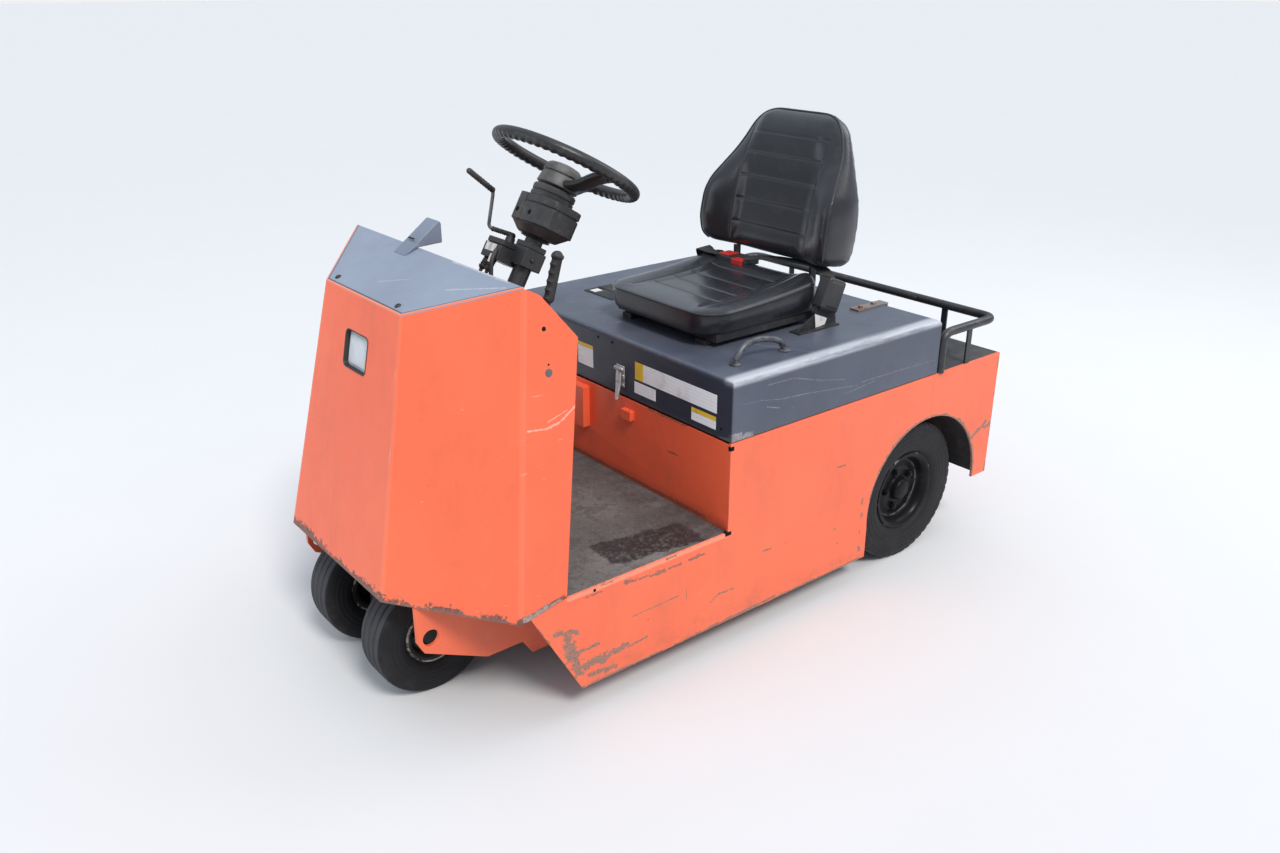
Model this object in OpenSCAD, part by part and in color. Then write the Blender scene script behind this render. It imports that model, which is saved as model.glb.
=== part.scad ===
// Sit-on electric tow tractor for baggage carts, with one seat on the battery hood.
// X points forward, Y to the driver's left and Z up; the origin is on the ground at the middle.
// Heights are above the ground. Lengths along X start at the rear axle, or at the swivel axis
// of the front wheels where a name says so.

/* [Body] */
// Width across the two side panels
body_w = 979; // [940:1:1040]
// Thickness of the body's steel plates
plate = 6; // [4:0.5:8]
// Rear axle to the swivel axis of the front wheels
wheelbase = 1385; // [1340:1:1460]
// Rear axle back to the outside of the rear panel
tail_len = 346; // [330:1:380]
// Rear axle forward to the front of the footwell riser
riser_x = 733; // [715:1:760]
// Top of the footwell floor
floor_z = 329; // [326:1:345]
// Top of the side panels and of the rear deck
deck_z = 565; // [550:1:585]
// Lower edge of the side panels ahead of the rear wheels
sill_z = 75; // [60:1:100]
// Lower edge of the panels behind the rear wheels
tail_z = 182; // [165:1:200]

/* [Wheel arch] */
// Radius of the arch cut in the side panel
arch_r = 240; // [232:1:250]
// Height of the arch centre
arch_z = 195; // [185:1:205]
// Arch centre behind the rear axle
arch_back = 38; // [30:1:45]
// Rear axle forward to the upright front edge of the arch
arch_front = 200; // [195:1:220]

/* [Rear wheels] */
// Tyre radius
rear_r = 208; // [195:1:212]
// Tyre width
rear_w = 112; // [100:1:116]
// Radius of the rim flange
rear_rim_r = 117; // [112:1:122]
// Gap between the tyre and the side panel
rear_inset = 19; // [12:1:26]
// Radius of the axle tube
axle_r = 45; // [38:1:50]

/* [Front wheels] */
// Tyre radius
front_r = 150; // [140:1:152]
// Tyre width
front_w = 94; // [84:1:98]
// Radius of the rim flange
front_rim_r = 73; // [70:1:78]
// Distance between the middles of the two tyres
front_track = 286; // [270:1:290]
// Radius of the swivel post
kingpin_r = 25; // [20:1:28]

/* [Frame] */
// Gap between the body's side and the outside of each long frame plate
frame_side = 189.5; // [184:0.5:194]
// Thickness of the long frame plates
frame_t = 10; // [8:1:12]
// Radius of the tie-down hole in each frame plate's nose
tie_r = 20; // [16:1:22]

/* [Cowl] */
// Thickness of the cowl's steel sheet
cowl_t = 5; // [3:0.5:6]
// Swivel axis forward to the cowl's lower front edge
cowl_reach = 150; // [140:1:165]
// Half width of the cowl's front face at its lower edge
cowl_nose_w = 239.5; // [225:0.5:250]
// Height of the cowl's lower front edge
cowl_z = 323; // [318:1:340]
// Width and height of the headlamp opening
lamp_size = [112, 88];
// Height of the headlamp's middle
lamp_z = 813; // [780:1:840]

/* [Battery hood] */
// Rear axle back to the hood's rear face
hood_back = 48; // [40:1:60]
// Top of the hood
hood_z = 721; // [700:1:745]
// Thickness of the hood's sheet
hood_t = 5; // [4:0.5:6]
// Gap between the hood and the body below it
hood_gap = 2; // [1:0.5:4]
// Radius of the hood's bent top edges
hood_edge_r = 14; // [8:1:20]

/* [Seat] */
// Middle of the seat, left of the body's middle
seat_y = 86; // [70:1:110]
// Width of the seat cushion
cushion_w = 440; // [420:1:460]
// Width of the backrest where it is widest
back_w = 478; // [450:1:500]
// Lean of the backrest from upright
back_lean = 9.5; // [7:0.5:14]

/* [Steering] */
// Radius of the steering wheel to the middle of its rim
wheel_r = 177; // [165:0.5:185]
// Radius of the steering wheel's rim section
grip_r = 14.5; // [11:0.5:16]
// Lean of the column from upright
column_lean = 30.5; // [29:0.1:33]
// Height of the steering wheel's middle
wheel_z = 1164; // [1140:1:1185]

/* [Rear rail] */
// Radius of the rail's tube
rail_r = 12.5; // [10:0.5:14]
// Height of the tube's middle
rail_z = 677; // [660:1:700]

/* [Tow coupling] */
// How far the coupling reaches behind the rear panel
jaw_len = 90; // [80:1:110]
// Height of the coupling's middle
jaw_z = 300; // [270:1:330]
// Opening between the coupling's two plates
jaw_gap = 44; // [36:1:50]
// Radius of the coupling pin
pin_r = 12.5; // [10:0.5:14]

/* [Hidden] */
$fn = 64;

orange = "#ff7e5c";
slate = "#59616f";
black = "#1d1e20";
steel = "#8a8d90";

half_w = body_w / 2;
inner_w = half_w - plate;
frame_w = body_w - 2 * frame_side;
seat_gap = 0.3;
// The rear axle's place that puts the whole machine's box in the middle
axle_x = -(wheelbase + cowl_reach - tail_len - jaw_len) / 2;
module from_axle() { translate([axle_x, 0, 0]) children(); }
// A plate that stands along X and Z, drawn in those two and given its reach along Y
module upright(y0, y1) { translate([0, y1, 0]) rotate([90, 0, 0]) linear_extrude(y1 - y0) children(); }
// A plate that stands across the machine, drawn in Y and Z and given its reach along X
module across(x0, x1) { translate([x0, 0, 0]) rotate([90, 0, 90]) linear_extrude(x1 - x0) children(); }
module both_sides() { children(); mirror([0, 1, 0]) children(); }
// A rectangle from its low corner to its high corner
module rect(a, b) { translate(a) square([b[0] - a[0], b[1] - a[1]]); }
module block(a, b) { translate(a) cube(b - a); }
// A rectangle about the origin with four round corners
module rounded(w, h, r) {
  rect([-w / 2 + r, -h / 2], [w / 2 - r, h / 2]);
  rect([-w / 2, -h / 2 + r], [w / 2, h / 2 - r]);
  for (x = [-w / 2 + r, w / 2 - r], y = [-h / 2 + r, h / 2 - r]) translate([x, y]) circle(r);
}
// A rod between two points
module rod(a, b, r) {
  d = b - a;
  translate(a) rotate([0, acos(d[2] / norm(d)), atan2(d[1], d[0])]) cylinder(h = norm(d), r = r);
}

// Cowl: its two creases and its side outline, in X from the swivel axis
nose_low = [cowl_reach, cowl_nose_w, cowl_z];
nose_high = [17, 182, 936];
side_low = [-51, half_w, 306];
side_high = [-163, 381.5, 1007];
cowl_rear = [-174, floor_z];
cowl_knee = [-280, 883];
cowl_brow = [-199, 989];
nose_lean = atan2(nose_low[0] - nose_high[0], nose_high[2] - nose_low[2]);
top_slope = atan2(side_high[2] - nose_high[2], nose_high[0] - side_high[0]);
top_t = 4;
// A crease's place at a height
function on_crease(low, high, z) = low + (high - low) * (z - low[2]) / (high[2] - low[2]);
// The two crease points at a height, moved in by a wall thickness
function cowl_points(z, t) =
  let (a = on_crease(nose_low, nose_high, z), b = on_crease(side_low, side_high, z),
       u = [b[0] - a[0], b[1] - a[1]] / norm([b[0] - a[0], b[1] - a[1]]), n = [u[1], -u[0]])
  [[a[0] - t, a[1] - t * (1 - n[0]) / n[1], z], [b[0] - t * (1 - n[1]) / n[0], b[1] - t, z]];

// Side panels: one sheet from tail to sill, with the wheel arch cut out
sill_nose = [wheelbase - 77, 310.5];
sill_toe = wheelbase - 208;
module side_outline() {
  difference() {
    polygon([[-tail_len, tail_z], [-tail_len, deck_z], [riser_x, deck_z], [riser_x, floor_z],
      [wheelbase + cowl_rear[0], floor_z - 0.5], sill_nose, [sill_toe, sill_z],
      [arch_front, sill_z], [arch_front, tail_z]]);
    translate([-arch_back, arch_z]) circle(arch_r);
    polygon([[-arch_back - arch_r + 11, sill_z], [-arch_back - arch_r + 3, arch_z + 38],
      [arch_front, arch_z + 31], [arch_front, sill_z]]);
  }
}
module side_panel_left() { color(orange) from_axle() upright(inner_w, half_w) side_outline(); }
module side_panel_right() { mirror([0, 1, 0]) side_panel_left(); }

// Footwell floor, with the toe board that rises under the cowl and lets the column through
toe_foot = wheelbase - 160;
toe_tilt = 26.5;
toe_len = 236;
module on_toe(y, up) {
  translate([toe_foot, y, floor_z]) rotate([0, toe_tilt, 0]) translate([0, 0, up]) children();
}
module floor_plate() {
  color(slate) from_axle() {
    floor_front = wheelbase + cowl_rear[0];
    under = floor_z - plate;
    block([riser_x - plate, -inner_w, under], [floor_front, inner_w, floor_z]);
    block([floor_front, 10 - inner_w, under], [wheelbase - 136, inner_w - 10, floor_z]);
    both_sides()
      block([wheelbase - 136, frame_w / 2 + seat_gap, under], [wheelbase - 56, inner_w - 10, floor_z]);
    difference() {
      on_toe(0, 0) across(0, plate)
        polygon([[-inner_w + 14, 2], [inner_w - 14, 2], [inner_w - 85, toe_len], [85 - inner_w, toe_len]]);
      along_column(-1000) cylinder(h = 800, r = column_r + 12);
    }
  }
}

// Riser between footwell and battery, with the channel and the catch welded to it
module riser_panel() {
  color(orange) from_axle() {
    across(riser_x - plate, riser_x) rect([-inner_w, floor_z], [inner_w, deck_z - 4]);
    block([riser_x, -136, 430], [riser_x + 22, -75, 547]);
    difference() {
      block([riser_x, 82, 508], [riser_x + 14, 122, 534]);
      translate([riser_x + 7, 105, 500]) cylinder(h = 50, r = 5, $fn = 24);
    }
  }
}

module rear_panel() {
  color(orange) from_axle()
    across(-tail_len, -tail_len + 2 * plate) rect([-inner_w, tail_z], [inner_w, deck_z - plate]);
}

module rear_deck() {
  color("#4c4a48") from_axle()
    block([-tail_len, -inner_w, deck_z - plate], [-hood_back - 4, inner_w, deck_z]);
}

// Chassis: two long plates with tie-down noses, the swivel plate and the battery tray
frame_in = frame_w / 2 - frame_t;
nose_x = wheelbase + 101;
tie_at = [wheelbase + 67, 228];
tray_z = sill_z + 12;
battery_x = [252, 712];
swivel_z = floor_z - plate;
swivel_t = 12;
module frame_outline() {
  difference() {
    union() {
      polygon([[nose_x, 316], [nose_x, 225], [nose_x - 16, 194], [wheelbase - 73, 118],
        [wheelbase - 170, 118], [wheelbase - 197, sill_z + 3], [240, sill_z + 3], [200, 130],
        [-tail_len + 2 * plate, 150], [-tail_len + 2 * plate, swivel_z], [wheelbase + 60, swivel_z],
        [wheelbase + 60, 316]]);
    }
    translate([0, rear_r]) circle(axle_r + seat_gap);
    translate(tie_at) circle(tie_r);
  }
}
module chassis_frame() {
  color(orange) from_axle() {
    both_sides() upright(frame_in, frame_w / 2) frame_outline();
    difference() {
      block([wheelbase - 130, -frame_w / 2, swivel_z],
        [wheelbase + 60, frame_w / 2, swivel_z + swivel_t]);
      translate([wheelbase, 0, swivel_z - 1]) cylinder(h = swivel_t + 2, r = kingpin_r + 0.06);
    }
    block([battery_x[0] - 14, -frame_in, tray_z - plate], [riser_x - plate, frame_in, tray_z]);
    block([battery_x[0] - 14, -frame_in, tray_z], [battery_x[0] - 14 + plate, frame_in, 500]);
  }
}

// Cowl: a folded sheet shell, open at the back and below
module wrap(points) { hull() polyhedron(points, [[for (i = [0:len(points) - 1]) i]]); }
module cowl_body(t, z0, z1) {
  wrap([for (z = [z0, z1], s = [-1, 1], p = cowl_points(z, t), x = [p[0], cowl_knee[0] - 40])
    [x, s * p[1], z]]);
}
function top_drop(t) = t / cos(top_slope);
module cowl_side(drop) {
  polygon([[cowl_reach, cowl_z], [nose_high[0], nose_high[2] - drop],
    [side_high[0], side_high[2] - drop], [side_high[0] - 14, side_high[2] - 6 - drop],
    cowl_brow - [0, drop], cowl_knee, cowl_rear, [side_low[0], side_low[2]]]);
}
module on_front(z) {
  x = on_crease(nose_low, nose_high, z)[0];
  translate([x, 0, z]) rotate([0, -nose_lean, 0]) children();
}
module front_cowl() {
  color(orange) from_axle() translate([wheelbase, 0, 0]) difference() {
    intersection() {
      cowl_body(0, 280, 1040);
      upright(-half_w, half_w) cowl_side(top_drop(top_t));
    }
    cowl_body(cowl_t, 270, 1060);
    on_front(lamp_z) across(-20, 20) rounded(lamp_size[0], lamp_size[1], 14);
  }
}
module cowl_top() {
  color(slate) from_axle() translate([wheelbase, 0, 0]) intersection() {
    cowl_body(0, 280, 1040);
    upright(-half_w, half_w) polygon([[nose_high[0], nose_high[2]], [side_high[0], side_high[2]],
      [side_high[0], side_high[2] - top_drop(top_t)], [nose_high[0], nose_high[2] - top_drop(top_t)]]);
  }
}
// Gauge pod: a wedge on the cowl's top, its gauge towards the driver
pod_y = [-116, -59];
module instrument_pod() {
  color(slate) from_axle() translate([wheelbase, 0, 0]) upright(pod_y[0], pod_y[1])
    polygon([[-125, 992.3], [side_high[0], side_high[2] + 0.3], [-225, 1010], [-225, 1056], [-219, 1062]]);
}
module headlamp() {
  color(black) from_axle() translate([wheelbase, 0, 0]) on_front(lamp_z) difference() {
    across(-70, -cowl_t - seat_gap) rounded(lamp_size[0] + 20, lamp_size[1] + 20, 18);
    across(-60, 0) rounded(lamp_size[0], lamp_size[1], 12);
  }
}
module headlamp_lens() {
  color("#dfe6ea") from_axle() translate([wheelbase, 0, 0]) on_front(lamp_z)
    across(-26, -20) rounded(lamp_size[0] - 2 * seat_gap, lamp_size[1] - 2 * seat_gap, 11.7);
}

module battery() {
  color("#33363a") from_axle()
    block([battery_x[0], -frame_in + 8, tray_z], [battery_x[1], frame_in - 8, 535]);
}

// Rear axle: tube, final drive, brake backing plates and the two spindles
rear_y = inner_w - rear_inset - rear_w / 2;
spindle_r = 20;
module rear_axle() {
  color(black) from_axle() translate([0, 0, rear_r]) {
    rotate([90, 0, 0]) cylinder(h = 2 * (rear_y - 66), r = axle_r, center = true);
    rotate([90, 0, 0]) cylinder(h = 150, r = 82, center = true);
    both_sides() {
      translate([0, rear_y - 66, 0]) rotate([90, 0, 0]) cylinder(h = 14, r = 88);
      translate([0, rear_y + 28, 0]) rotate([90, 0, 0]) cylinder(h = 100, r = spindle_r);
    }
  }
}
module drive_motor() {
  color("#3a3c40") from_axle() translate([-82 - 215, 0, rear_r]) rotate([0, 90, 0]) cylinder(h = 215, r = 95);
}
// Arch liners between the frame and the side panels
module wheel_arches() {
  color(black) from_axle() both_sides() upright(frame_w / 2 + seat_gap, inner_w - seat_gap) difference() {
    translate([-20, 200]) circle(arch_r + 23);
    translate([-20, 200]) circle(arch_r + 19);
    rect([-400, -400], [400, 200]);
  }
}

// Tow coupling: a two-plate jaw on the rear panel, closed by a drop pin
jaw_x = -tail_len - jaw_len + 34;
module tow_coupling() {
  color(black) from_axle() difference() {
    union() {
      block([-tail_len - 12, -75, jaw_z - 70], [-tail_len, 75, jaw_z + 70]);
      for (z = [jaw_z - jaw_gap / 2 - 16, jaw_z + jaw_gap / 2]) {
        block([jaw_x, -34, z], [-tail_len - 12, 34, z + 16]);
        translate([jaw_x, 0, z]) cylinder(h = 16, r = 34);
      }
    }
    translate([jaw_x, 0, jaw_z - 80]) cylinder(h = 160, r = pin_r + 0.5);
  }
}
module tow_pin() {
  top = jaw_z + jaw_gap / 2 + 16;
  color(steel) from_axle() translate([jaw_x, 0, 0]) {
    translate([0, 0, jaw_z - jaw_gap / 2 - 30]) cylinder(h = top - jaw_z + jaw_gap / 2 + 30, r = pin_r);
    translate([0, 0, top]) cylinder(h = 8, r = 20);
    translate([0, 0, top + 8]) cylinder(h = 14, r = 8);
    translate([0, 0, top + 43]) rotate([90, 0, 0]) rotate_extrude() translate([22, 0]) circle(5);
  }
}
module tail_lamps() {
  color("#a01818") from_axle() both_sides() translate([-tail_len, 400, 500]) rotate([0, -90, 0])
    cylinder(h = 24, r = 36);
}

// Guard rail: one bent tube with flat posts, standing on the rear deck
rail_x = -302;
rail_y = half_w - 5.5;
rail_leg_x = -hood_back - 6 - rail_r;
rail_bend = 34;
module tube_run(a, b) { rod(a, b, rail_r); }
module tube_elbow(at, turn) {
  translate(at) rotate(turn) rotate_extrude(angle = 90) translate([rail_bend, 0]) circle(rail_r);
}
module rear_rail() {
  color(black) from_axle() {
    tube_run([rail_x, -rail_y + rail_bend, rail_z], [rail_x, rail_y - rail_bend, rail_z]);
    both_sides() {
      tube_run([rail_x + rail_bend, rail_y, rail_z], [rail_leg_x - rail_bend, rail_y, rail_z]);
      tube_elbow([rail_x + rail_bend, rail_y - rail_bend, rail_z], [0, 0, 90]);
      tube_elbow([rail_leg_x - rail_bend, rail_y, rail_z - rail_bend], [90, 0, 0]);
      tube_run([rail_leg_x, rail_y, rail_z - rail_bend], [rail_leg_x, rail_y, deck_z]);
      block([rail_x - 3, 305, deck_z], [rail_x + 3, 325, rail_z - rail_r + 3]);
      block([-199, rail_y - 3, deck_z], [-179, rail_y + 3, rail_z - rail_r + 3]);
    }
  }
}

// Hood hinges: ears on the deck carry a pin; straps bolted to the hood turn on it
hinge_x = -hood_back - 16;
hinge_z = hood_z - 30;
hinge_y = 281;
hinge_pin_r = 6;
ear_gap = 32;
module hinge_brackets() {
  color(black) from_axle() both_sides() {
    for (y = [hinge_y - ear_gap / 2 - 7, hinge_y + ear_gap / 2 + 1]) {
      upright(y, y + 6) polygon([[hinge_x - 16, deck_z], [hinge_x + 9, deck_z], [hinge_x + 9, hinge_z],
        [hinge_x - 9, hinge_z]]);
      translate([hinge_x, y + 6, hinge_z]) rotate([90, 0, 0]) cylinder(h = 6, r = 9);
    }
    block([hinge_x - 16, hinge_y - ear_gap / 2 - 7, deck_z],
      [hinge_x + 9, hinge_y + ear_gap / 2 + 7, deck_z + 8]);
    translate([hinge_x, hinge_y + ear_gap / 2 + 12, hinge_z]) rotate([90, 0, 0])
      cylinder(h = ear_gap + 24, r = hinge_pin_r);
  }
}
module hinge_straps() {
  color("#c9cbcd") from_axle() both_sides() difference() {
    union() {
      block([-hood_back - 5, hinge_y - 16, hood_z], [74, hinge_y + 16, hood_z + 5]);
      block([-hood_back - 5, hinge_y - 16, hinge_z - 12], [-hood_back - seat_gap, hinge_y + 16, hood_z + 5]);
      translate([hinge_x, hinge_y + 16, hinge_z]) rotate([90, 0, 0]) cylinder(h = 32, r = 11.5);
    }
    translate([hinge_x, hinge_y + ear_gap, hinge_z]) rotate([90, 0, 0])
      cylinder(h = 2 * ear_gap, r = hinge_pin_r + 0.06);
  }
}

// Battery hood: a folded sheet cover with bent top edges, open below
hood_low = deck_z + hood_gap;
module hood_profile(w, z0, z1, r) {
  rect([-w / 2, z0], [w / 2, z1 - r]);
  rect([-w / 2 + r, z0], [w / 2 - r, z1]);
  for (s = [-1, 1]) translate([s * (w / 2 - r), z1 - r]) circle(r);
}
module hood_solid(t, z0) {
  len = riser_x + hood_back - 2 * t;
  mid = (riser_x - hood_back) / 2;
  intersection() {
    translate([mid, 0, 0]) upright(-half_w, half_w) hood_profile(len, z0, hood_z - t, hood_edge_r - t);
    across(-hood_back, riser_x) hood_profile(body_w - 2 * t, z0, hood_z - t, hood_edge_r - t);
  }
}
module battery_hood() {
  color(slate) from_axle() difference() {
    hood_solid(0, hood_low);
    hood_solid(hood_t, hood_low - 1);
  }
}
handle_x = [478, 648];
handle_y = half_w - 85.5;
handle_bend = 20;
module hood_handle() {
  r = 6.5;
  rise = 34;
  color(black) from_axle() translate([0, handle_y, hood_z]) {
    for (s = [0, 1]) translate([handle_x[s], 0, 0]) {
      cylinder(h = 4, r = 15);
      cylinder(h = rise - handle_bend, r = r);
      translate([s == 0 ? handle_bend : -handle_bend, 0, rise - handle_bend])
        rotate([90, s == 0 ? -90 : 0, 0]) rotate_extrude(angle = 90) translate([handle_bend, 0]) circle(r);
    }
    rod([handle_x[0] + handle_bend, 0, rise], [handle_x[1] - handle_bend, 0, rise], r);
  }
}
module hood_latch() {
  color(steel) from_axle() {
    block([riser_x + seat_gap, 52, 590], [riser_x + 4, 84, 648]);
    block([riser_x + 4, 58, 566], [riser_x + 16, 78, 640]);
  }
}

// Seat: steel pan and rails, cushion, backrest on two posts, belt buckle and reel
seat_x = [245, 645];
pan_z = hood_z + 14;
cushion_z = hood_z + 36;
back_foot = [243, hood_z + 152];
module seat_at() { translate([0, seat_y, 0]) children(); }
// Height of the backrest's lower face above a place along X
function under_back(x) = back_foot[1] + (x - back_foot[0]) * tan(back_lean) - seat_gap;
module seat_frame() {
  color(black) from_axle() seat_at() {
    for (s = [-1, 1]) block([210, s * 150 - 18, hood_z], [seat_x[1] - 35, s * 150 + 18, pan_z]);
    block([250, -200, pan_z], [seat_x[1] - 45, 200, cushion_z - seat_gap]);
    block([190, -175, pan_z], [250, 175, pan_z + 6]);
    for (s = [-1, 1]) upright(s * 148 - 4, s * 148 + 4)
      polygon([[192, pan_z], [214, pan_z], [214, under_back(214)], [192, under_back(192)]]);
  }
}
// Round corners of the cushion: place along X, corner radius, height, thickness and inset
cushion_rings = [
  [seat_x[1], 80, 0, 14, 6], [seat_x[1], 80, 38, 6, 0], [seat_x[1], 80, 54, 1, 22],
  [seat_x[0], 45, 0, 14, 4], [seat_x[0], 45, 66, 8, 0], [seat_x[0], 45, 98, 1, 22]
];
module seat_cushion() {
  color(black) from_axle() seat_at() hull()
    for (c = cushion_rings, s = [-1, 1]) {
      front = c[0] == seat_x[1];
      translate([c[0] + (front ? -c[1] : c[1]), s * (cushion_w / 2 - c[1]), cushion_z + c[2]])
        cylinder(h = c[3], r = c[1] - c[4], $fn = 32);
    }
}
// Backrest, up its leaning front plane: height, half width, reach of the side wing ahead of the
// plane, and reach of the back behind it
back_rows = [
  [0, 220, 24, 100], [24, 236, 44, 100], [70, 239, 55, 100], [140, 236, 55, 100],
  [180, 228, 44, 100], [221, 212, 16, 100], [265, 195, -13, 100], [301, 181, -28, 100],
  [350, 159, -38, 92], [380, 130, -50, 76]
];
back_scale = back_w / 478;
wing_in = 148;
module along_back() {
  translate([back_foot[0], seat_y, back_foot[1]]) rotate([0, -back_lean, 0]) children();
}
module back_ball(h, y, d) { translate([d, y, h + 12]) sphere(r = 12, $fn = 20); }
module seat_back() {
  color(black) from_axle() along_back() {
    hull() for (b = back_rows, s = [-1, 1]) {
      y = s * (b[1] * back_scale - 12);
      back_ball(b[0], y, min(b[2], 0) - 12);
      back_ball(b[0], y, 12 - b[3]);
    }
    for (s = [-1, 1]) hull() for (b = back_rows) if (b[2] > 0) {
      back_ball(b[0], s * (b[1] * back_scale - 12), b[2] - 12);
      back_ball(b[0], s * wing_in, -14);
      back_ball(b[0], s * (b[1] * back_scale - 12), -20);
    }
  }
}
reel_y = [seat_y + cushion_w / 2 + 2, seat_y + cushion_w / 2 + 36];
module seat_belt() {
  color(black) from_axle() {
    block([232, -50, pan_z + 6 + seat_gap], [236, -30, hood_z + 101]);
    block([223, -68, hood_z + 99], [243, -8, hood_z + 128]);
    upright(reel_y[0], reel_y[1]) translate([0, hood_z]) polygon([[184, 112], [214, 136], [241, 144],
      [276, 141], [297, 109], [304, 69], [235, 29], [210, 47], [185, 74]]);
    block([190, reel_y[0], hood_z], [305, reel_y[1], hood_z + 5]);
    upright(reel_y[0] + 12, reel_y[0] + 18) translate([0, hood_z])
      polygon([[205, 5], [295, 5], [300, 70], [235, 32], [211, 50]]);
  }
}

// Steering column, its switch cover and the wheel, along the leaning column axis
column_r = 22;
wheel_x = wheelbase - 542;
gear_z = [swivel_z + swivel_t, swivel_z + swivel_t + 65];
cover_d = [-161, -100, -66];
cover_neck = 34;
shaft_r = 11;
module along_column(d) {
  translate([wheel_x, 0, wheel_z]) rotate([0, -column_lean, 0]) translate([0, 0, d]) children();
}
function column_len(z) = (wheel_z - z) / cos(column_lean);
foot_d = -column_len(gear_z[1]) - 6;
module steering_column() {
  color(black) from_axle() along_column(foot_d) cylinder(h = cover_d[0] - cover_neck - foot_d, r = column_r);
}
module steering_gearbox() {
  color(black) from_axle() difference() {
    union() {
      block([wheelbase - 110, -70, gear_z[0]], [wheelbase + 50, 70, gear_z[1]]);
      translate([wheelbase, 0, gear_z[0]]) cylinder(h = 50, r = 80);
    }
    along_column(foot_d) cylinder(h = 300, r = column_r + seat_gap);
  }
}
module cover_outline(t) {
  polygon([[t - 54, t - 62], [-36, t - 72], [34, t - 72], [54 - t, t - 50], [54 - t, 40 - t / 2],
    [30, 72 - t], [-36, 72 - t], [t - 54, 62 - t]]);
}
module column_cover() {
  color(black) from_axle() difference() {
    union() {
      along_column(cover_d[0]) linear_extrude(cover_d[1] - cover_d[0]) cover_outline(0);
      along_column(cover_d[0] - 14) linear_extrude(14) cover_outline(12);
      along_column(cover_d[0] - cover_neck) cylinder(h = cover_neck - 14, r = 38);
      along_column(cover_d[1]) cylinder(h = cover_d[2] - cover_d[1], r = 50);
    }
    along_column(cover_d[1] + 2) cylinder(h = 40, r = shaft_r + 0.06);
  }
}
// Direction lever on a switch box that clamps to the column; its path in the column's own axes
lever_path = [[15, -80, -201], [57, -120, -208], [84, -120, -123], [165, -125, -108]];
module direction_lever() {
  color(black) from_axle() {
    along_column(-268) difference() {
      union() {
        block([-9, -95, 0], [74, -26, 53]);
        translate([0, 0, 10]) cylinder(h = 33, r = column_r + 8);
      }
      cylinder(h = 60, r = column_r + seat_gap);
    }
    along_column(0) {
      translate([15, -80, -217]) cylinder(h = 22, r = 10);
      rod(lever_path[0], lever_path[1], 4);
      translate(lever_path[1]) sphere(r = 6);
      rod(lever_path[1], lever_path[2], 4);
      translate(lever_path[2]) sphere(r = 9);
      rod(lever_path[2], lever_path[3], 7.5);
    }
  }
}
module steering_wheel() {
  color(black) from_axle() along_column(0) {
    rotate_extrude() translate([wheel_r, 0]) circle(grip_r, $fn = 32);
    translate([0, 0, -61]) cylinder(h = 46, r = 44);
    translate([0, 0, -17]) cylinder(h = 15, r = 38);
    translate([0, 0, cover_d[1] + 6]) cylinder(h = 35, r = shaft_r);
    for (a = [90, 210]) rotate([0, 0, a]) upright(-17, 17) polygon([[24, -61], [24, -40], [70, -34],
      [120, -12], [wheel_r - 6, 1], [wheel_r - 6, -11], [126, -28], [76, -54], [60, -61]]);
  }
}

// Parking brake lever and the two pedals, hinged on brackets on the toe board
module toe_bracket(y, up) { on_toe(y, up) block([-16, -14, 0], [0, 14, 44]); }
module brake_lever() {
  color(black) from_axle() {
    toe_bracket(150, 34);
    translate([wheelbase, 150, floor_z]) {
      rod([-145, 0, 50], [-378, 0, 569], 9);
      rod([-378, 0, 567], [-407, 0, 665], 15);
      rod([-408, -15, 667], [-408, 15, 667], 12);
    }
  }
}
module pedals() {
  color(black) from_axle() for (y = [-230, -110]) {
    toe_bracket(y, 90);
    on_toe(y, 100) block([-60, -6, 0], [-10, 6, 14]);
    on_toe(y, 60) block([-68, -40, 0], [-58, 40, 90]);
  }
}

// Front axle: cross spindles, yoke, turntable disc and swivel post in one piece
disc_z = swivel_z - 7;
module front_axle() {
  color(black) from_axle() translate([wheelbase, 0, 0]) {
    translate([0, 0, front_r]) rotate([90, 0, 0]) cylinder(h = front_track + 50, r = 15, center = true);
    yoke_y = front_track / 2 - front_w / 2 - 8;
    block([-34, -yoke_y, front_r - 34], [34, yoke_y, disc_z]);
    translate([0, 0, disc_z]) cylinder(h = 6, r = 110);
    translate([0, 0, disc_z + 6]) cylinder(h = swivel_t + 0.7, r = kingpin_r);
  }
}

// Tyres and rims: one half section turned about the axle
module tyre_section(r, w, rim_r) {
  bead = w / 2 - 13 - seat_gap;
  difference() {
    union() {
      translate([(r + rim_r + 1) / 2, 0]) rounded(r - rim_r - 1, w, 22);
      rect([rim_r - 16 + seat_gap, -bead], [rim_r + 26, bead]);
    }
    for (y = [-w / 4, 0, w / 4]) rect([r - 5, y - 3], [r + 1, y + 3]);
  }
}
module wheel_at(x, y, r) { from_axle() translate([x, y, r]) rotate([90, 0, 0]) children(); }
module tyre(r, w, rim_r) { color("#26272a") rotate_extrude($fn = 96) tyre_section(r, w, rim_r); }
module rim_section(r, w, bore, disc) {
  seat = r - 16;
  rect([seat - 5, -w / 2 + 13], [seat, w / 2 - 13]);
  for (s = [-1, 1]) rect([seat - 5, s < 0 ? -w / 2 + 8 : w / 2 - 13], [r, s < 0 ? -w / 2 + 13 : w / 2 - 8]);
  rect([bore + 2, disc - 4], [seat - 2, disc + 4]);
  rect([bore, -w / 2 + 12], [bore + 16, w / 2 - 14]);
}
module rim(r, w, bore, disc) {
  color(black) rotate_extrude() rim_section(r, w, bore, disc);
}
module front_at() { wheel_at(wheelbase, front_track / 2, front_r) children(); }
module front_tyre_left() { front_at() tyre(front_r, front_w, front_rim_r); }
module front_tyre_right() { mirror([0, 1, 0]) front_tyre_left(); }
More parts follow.
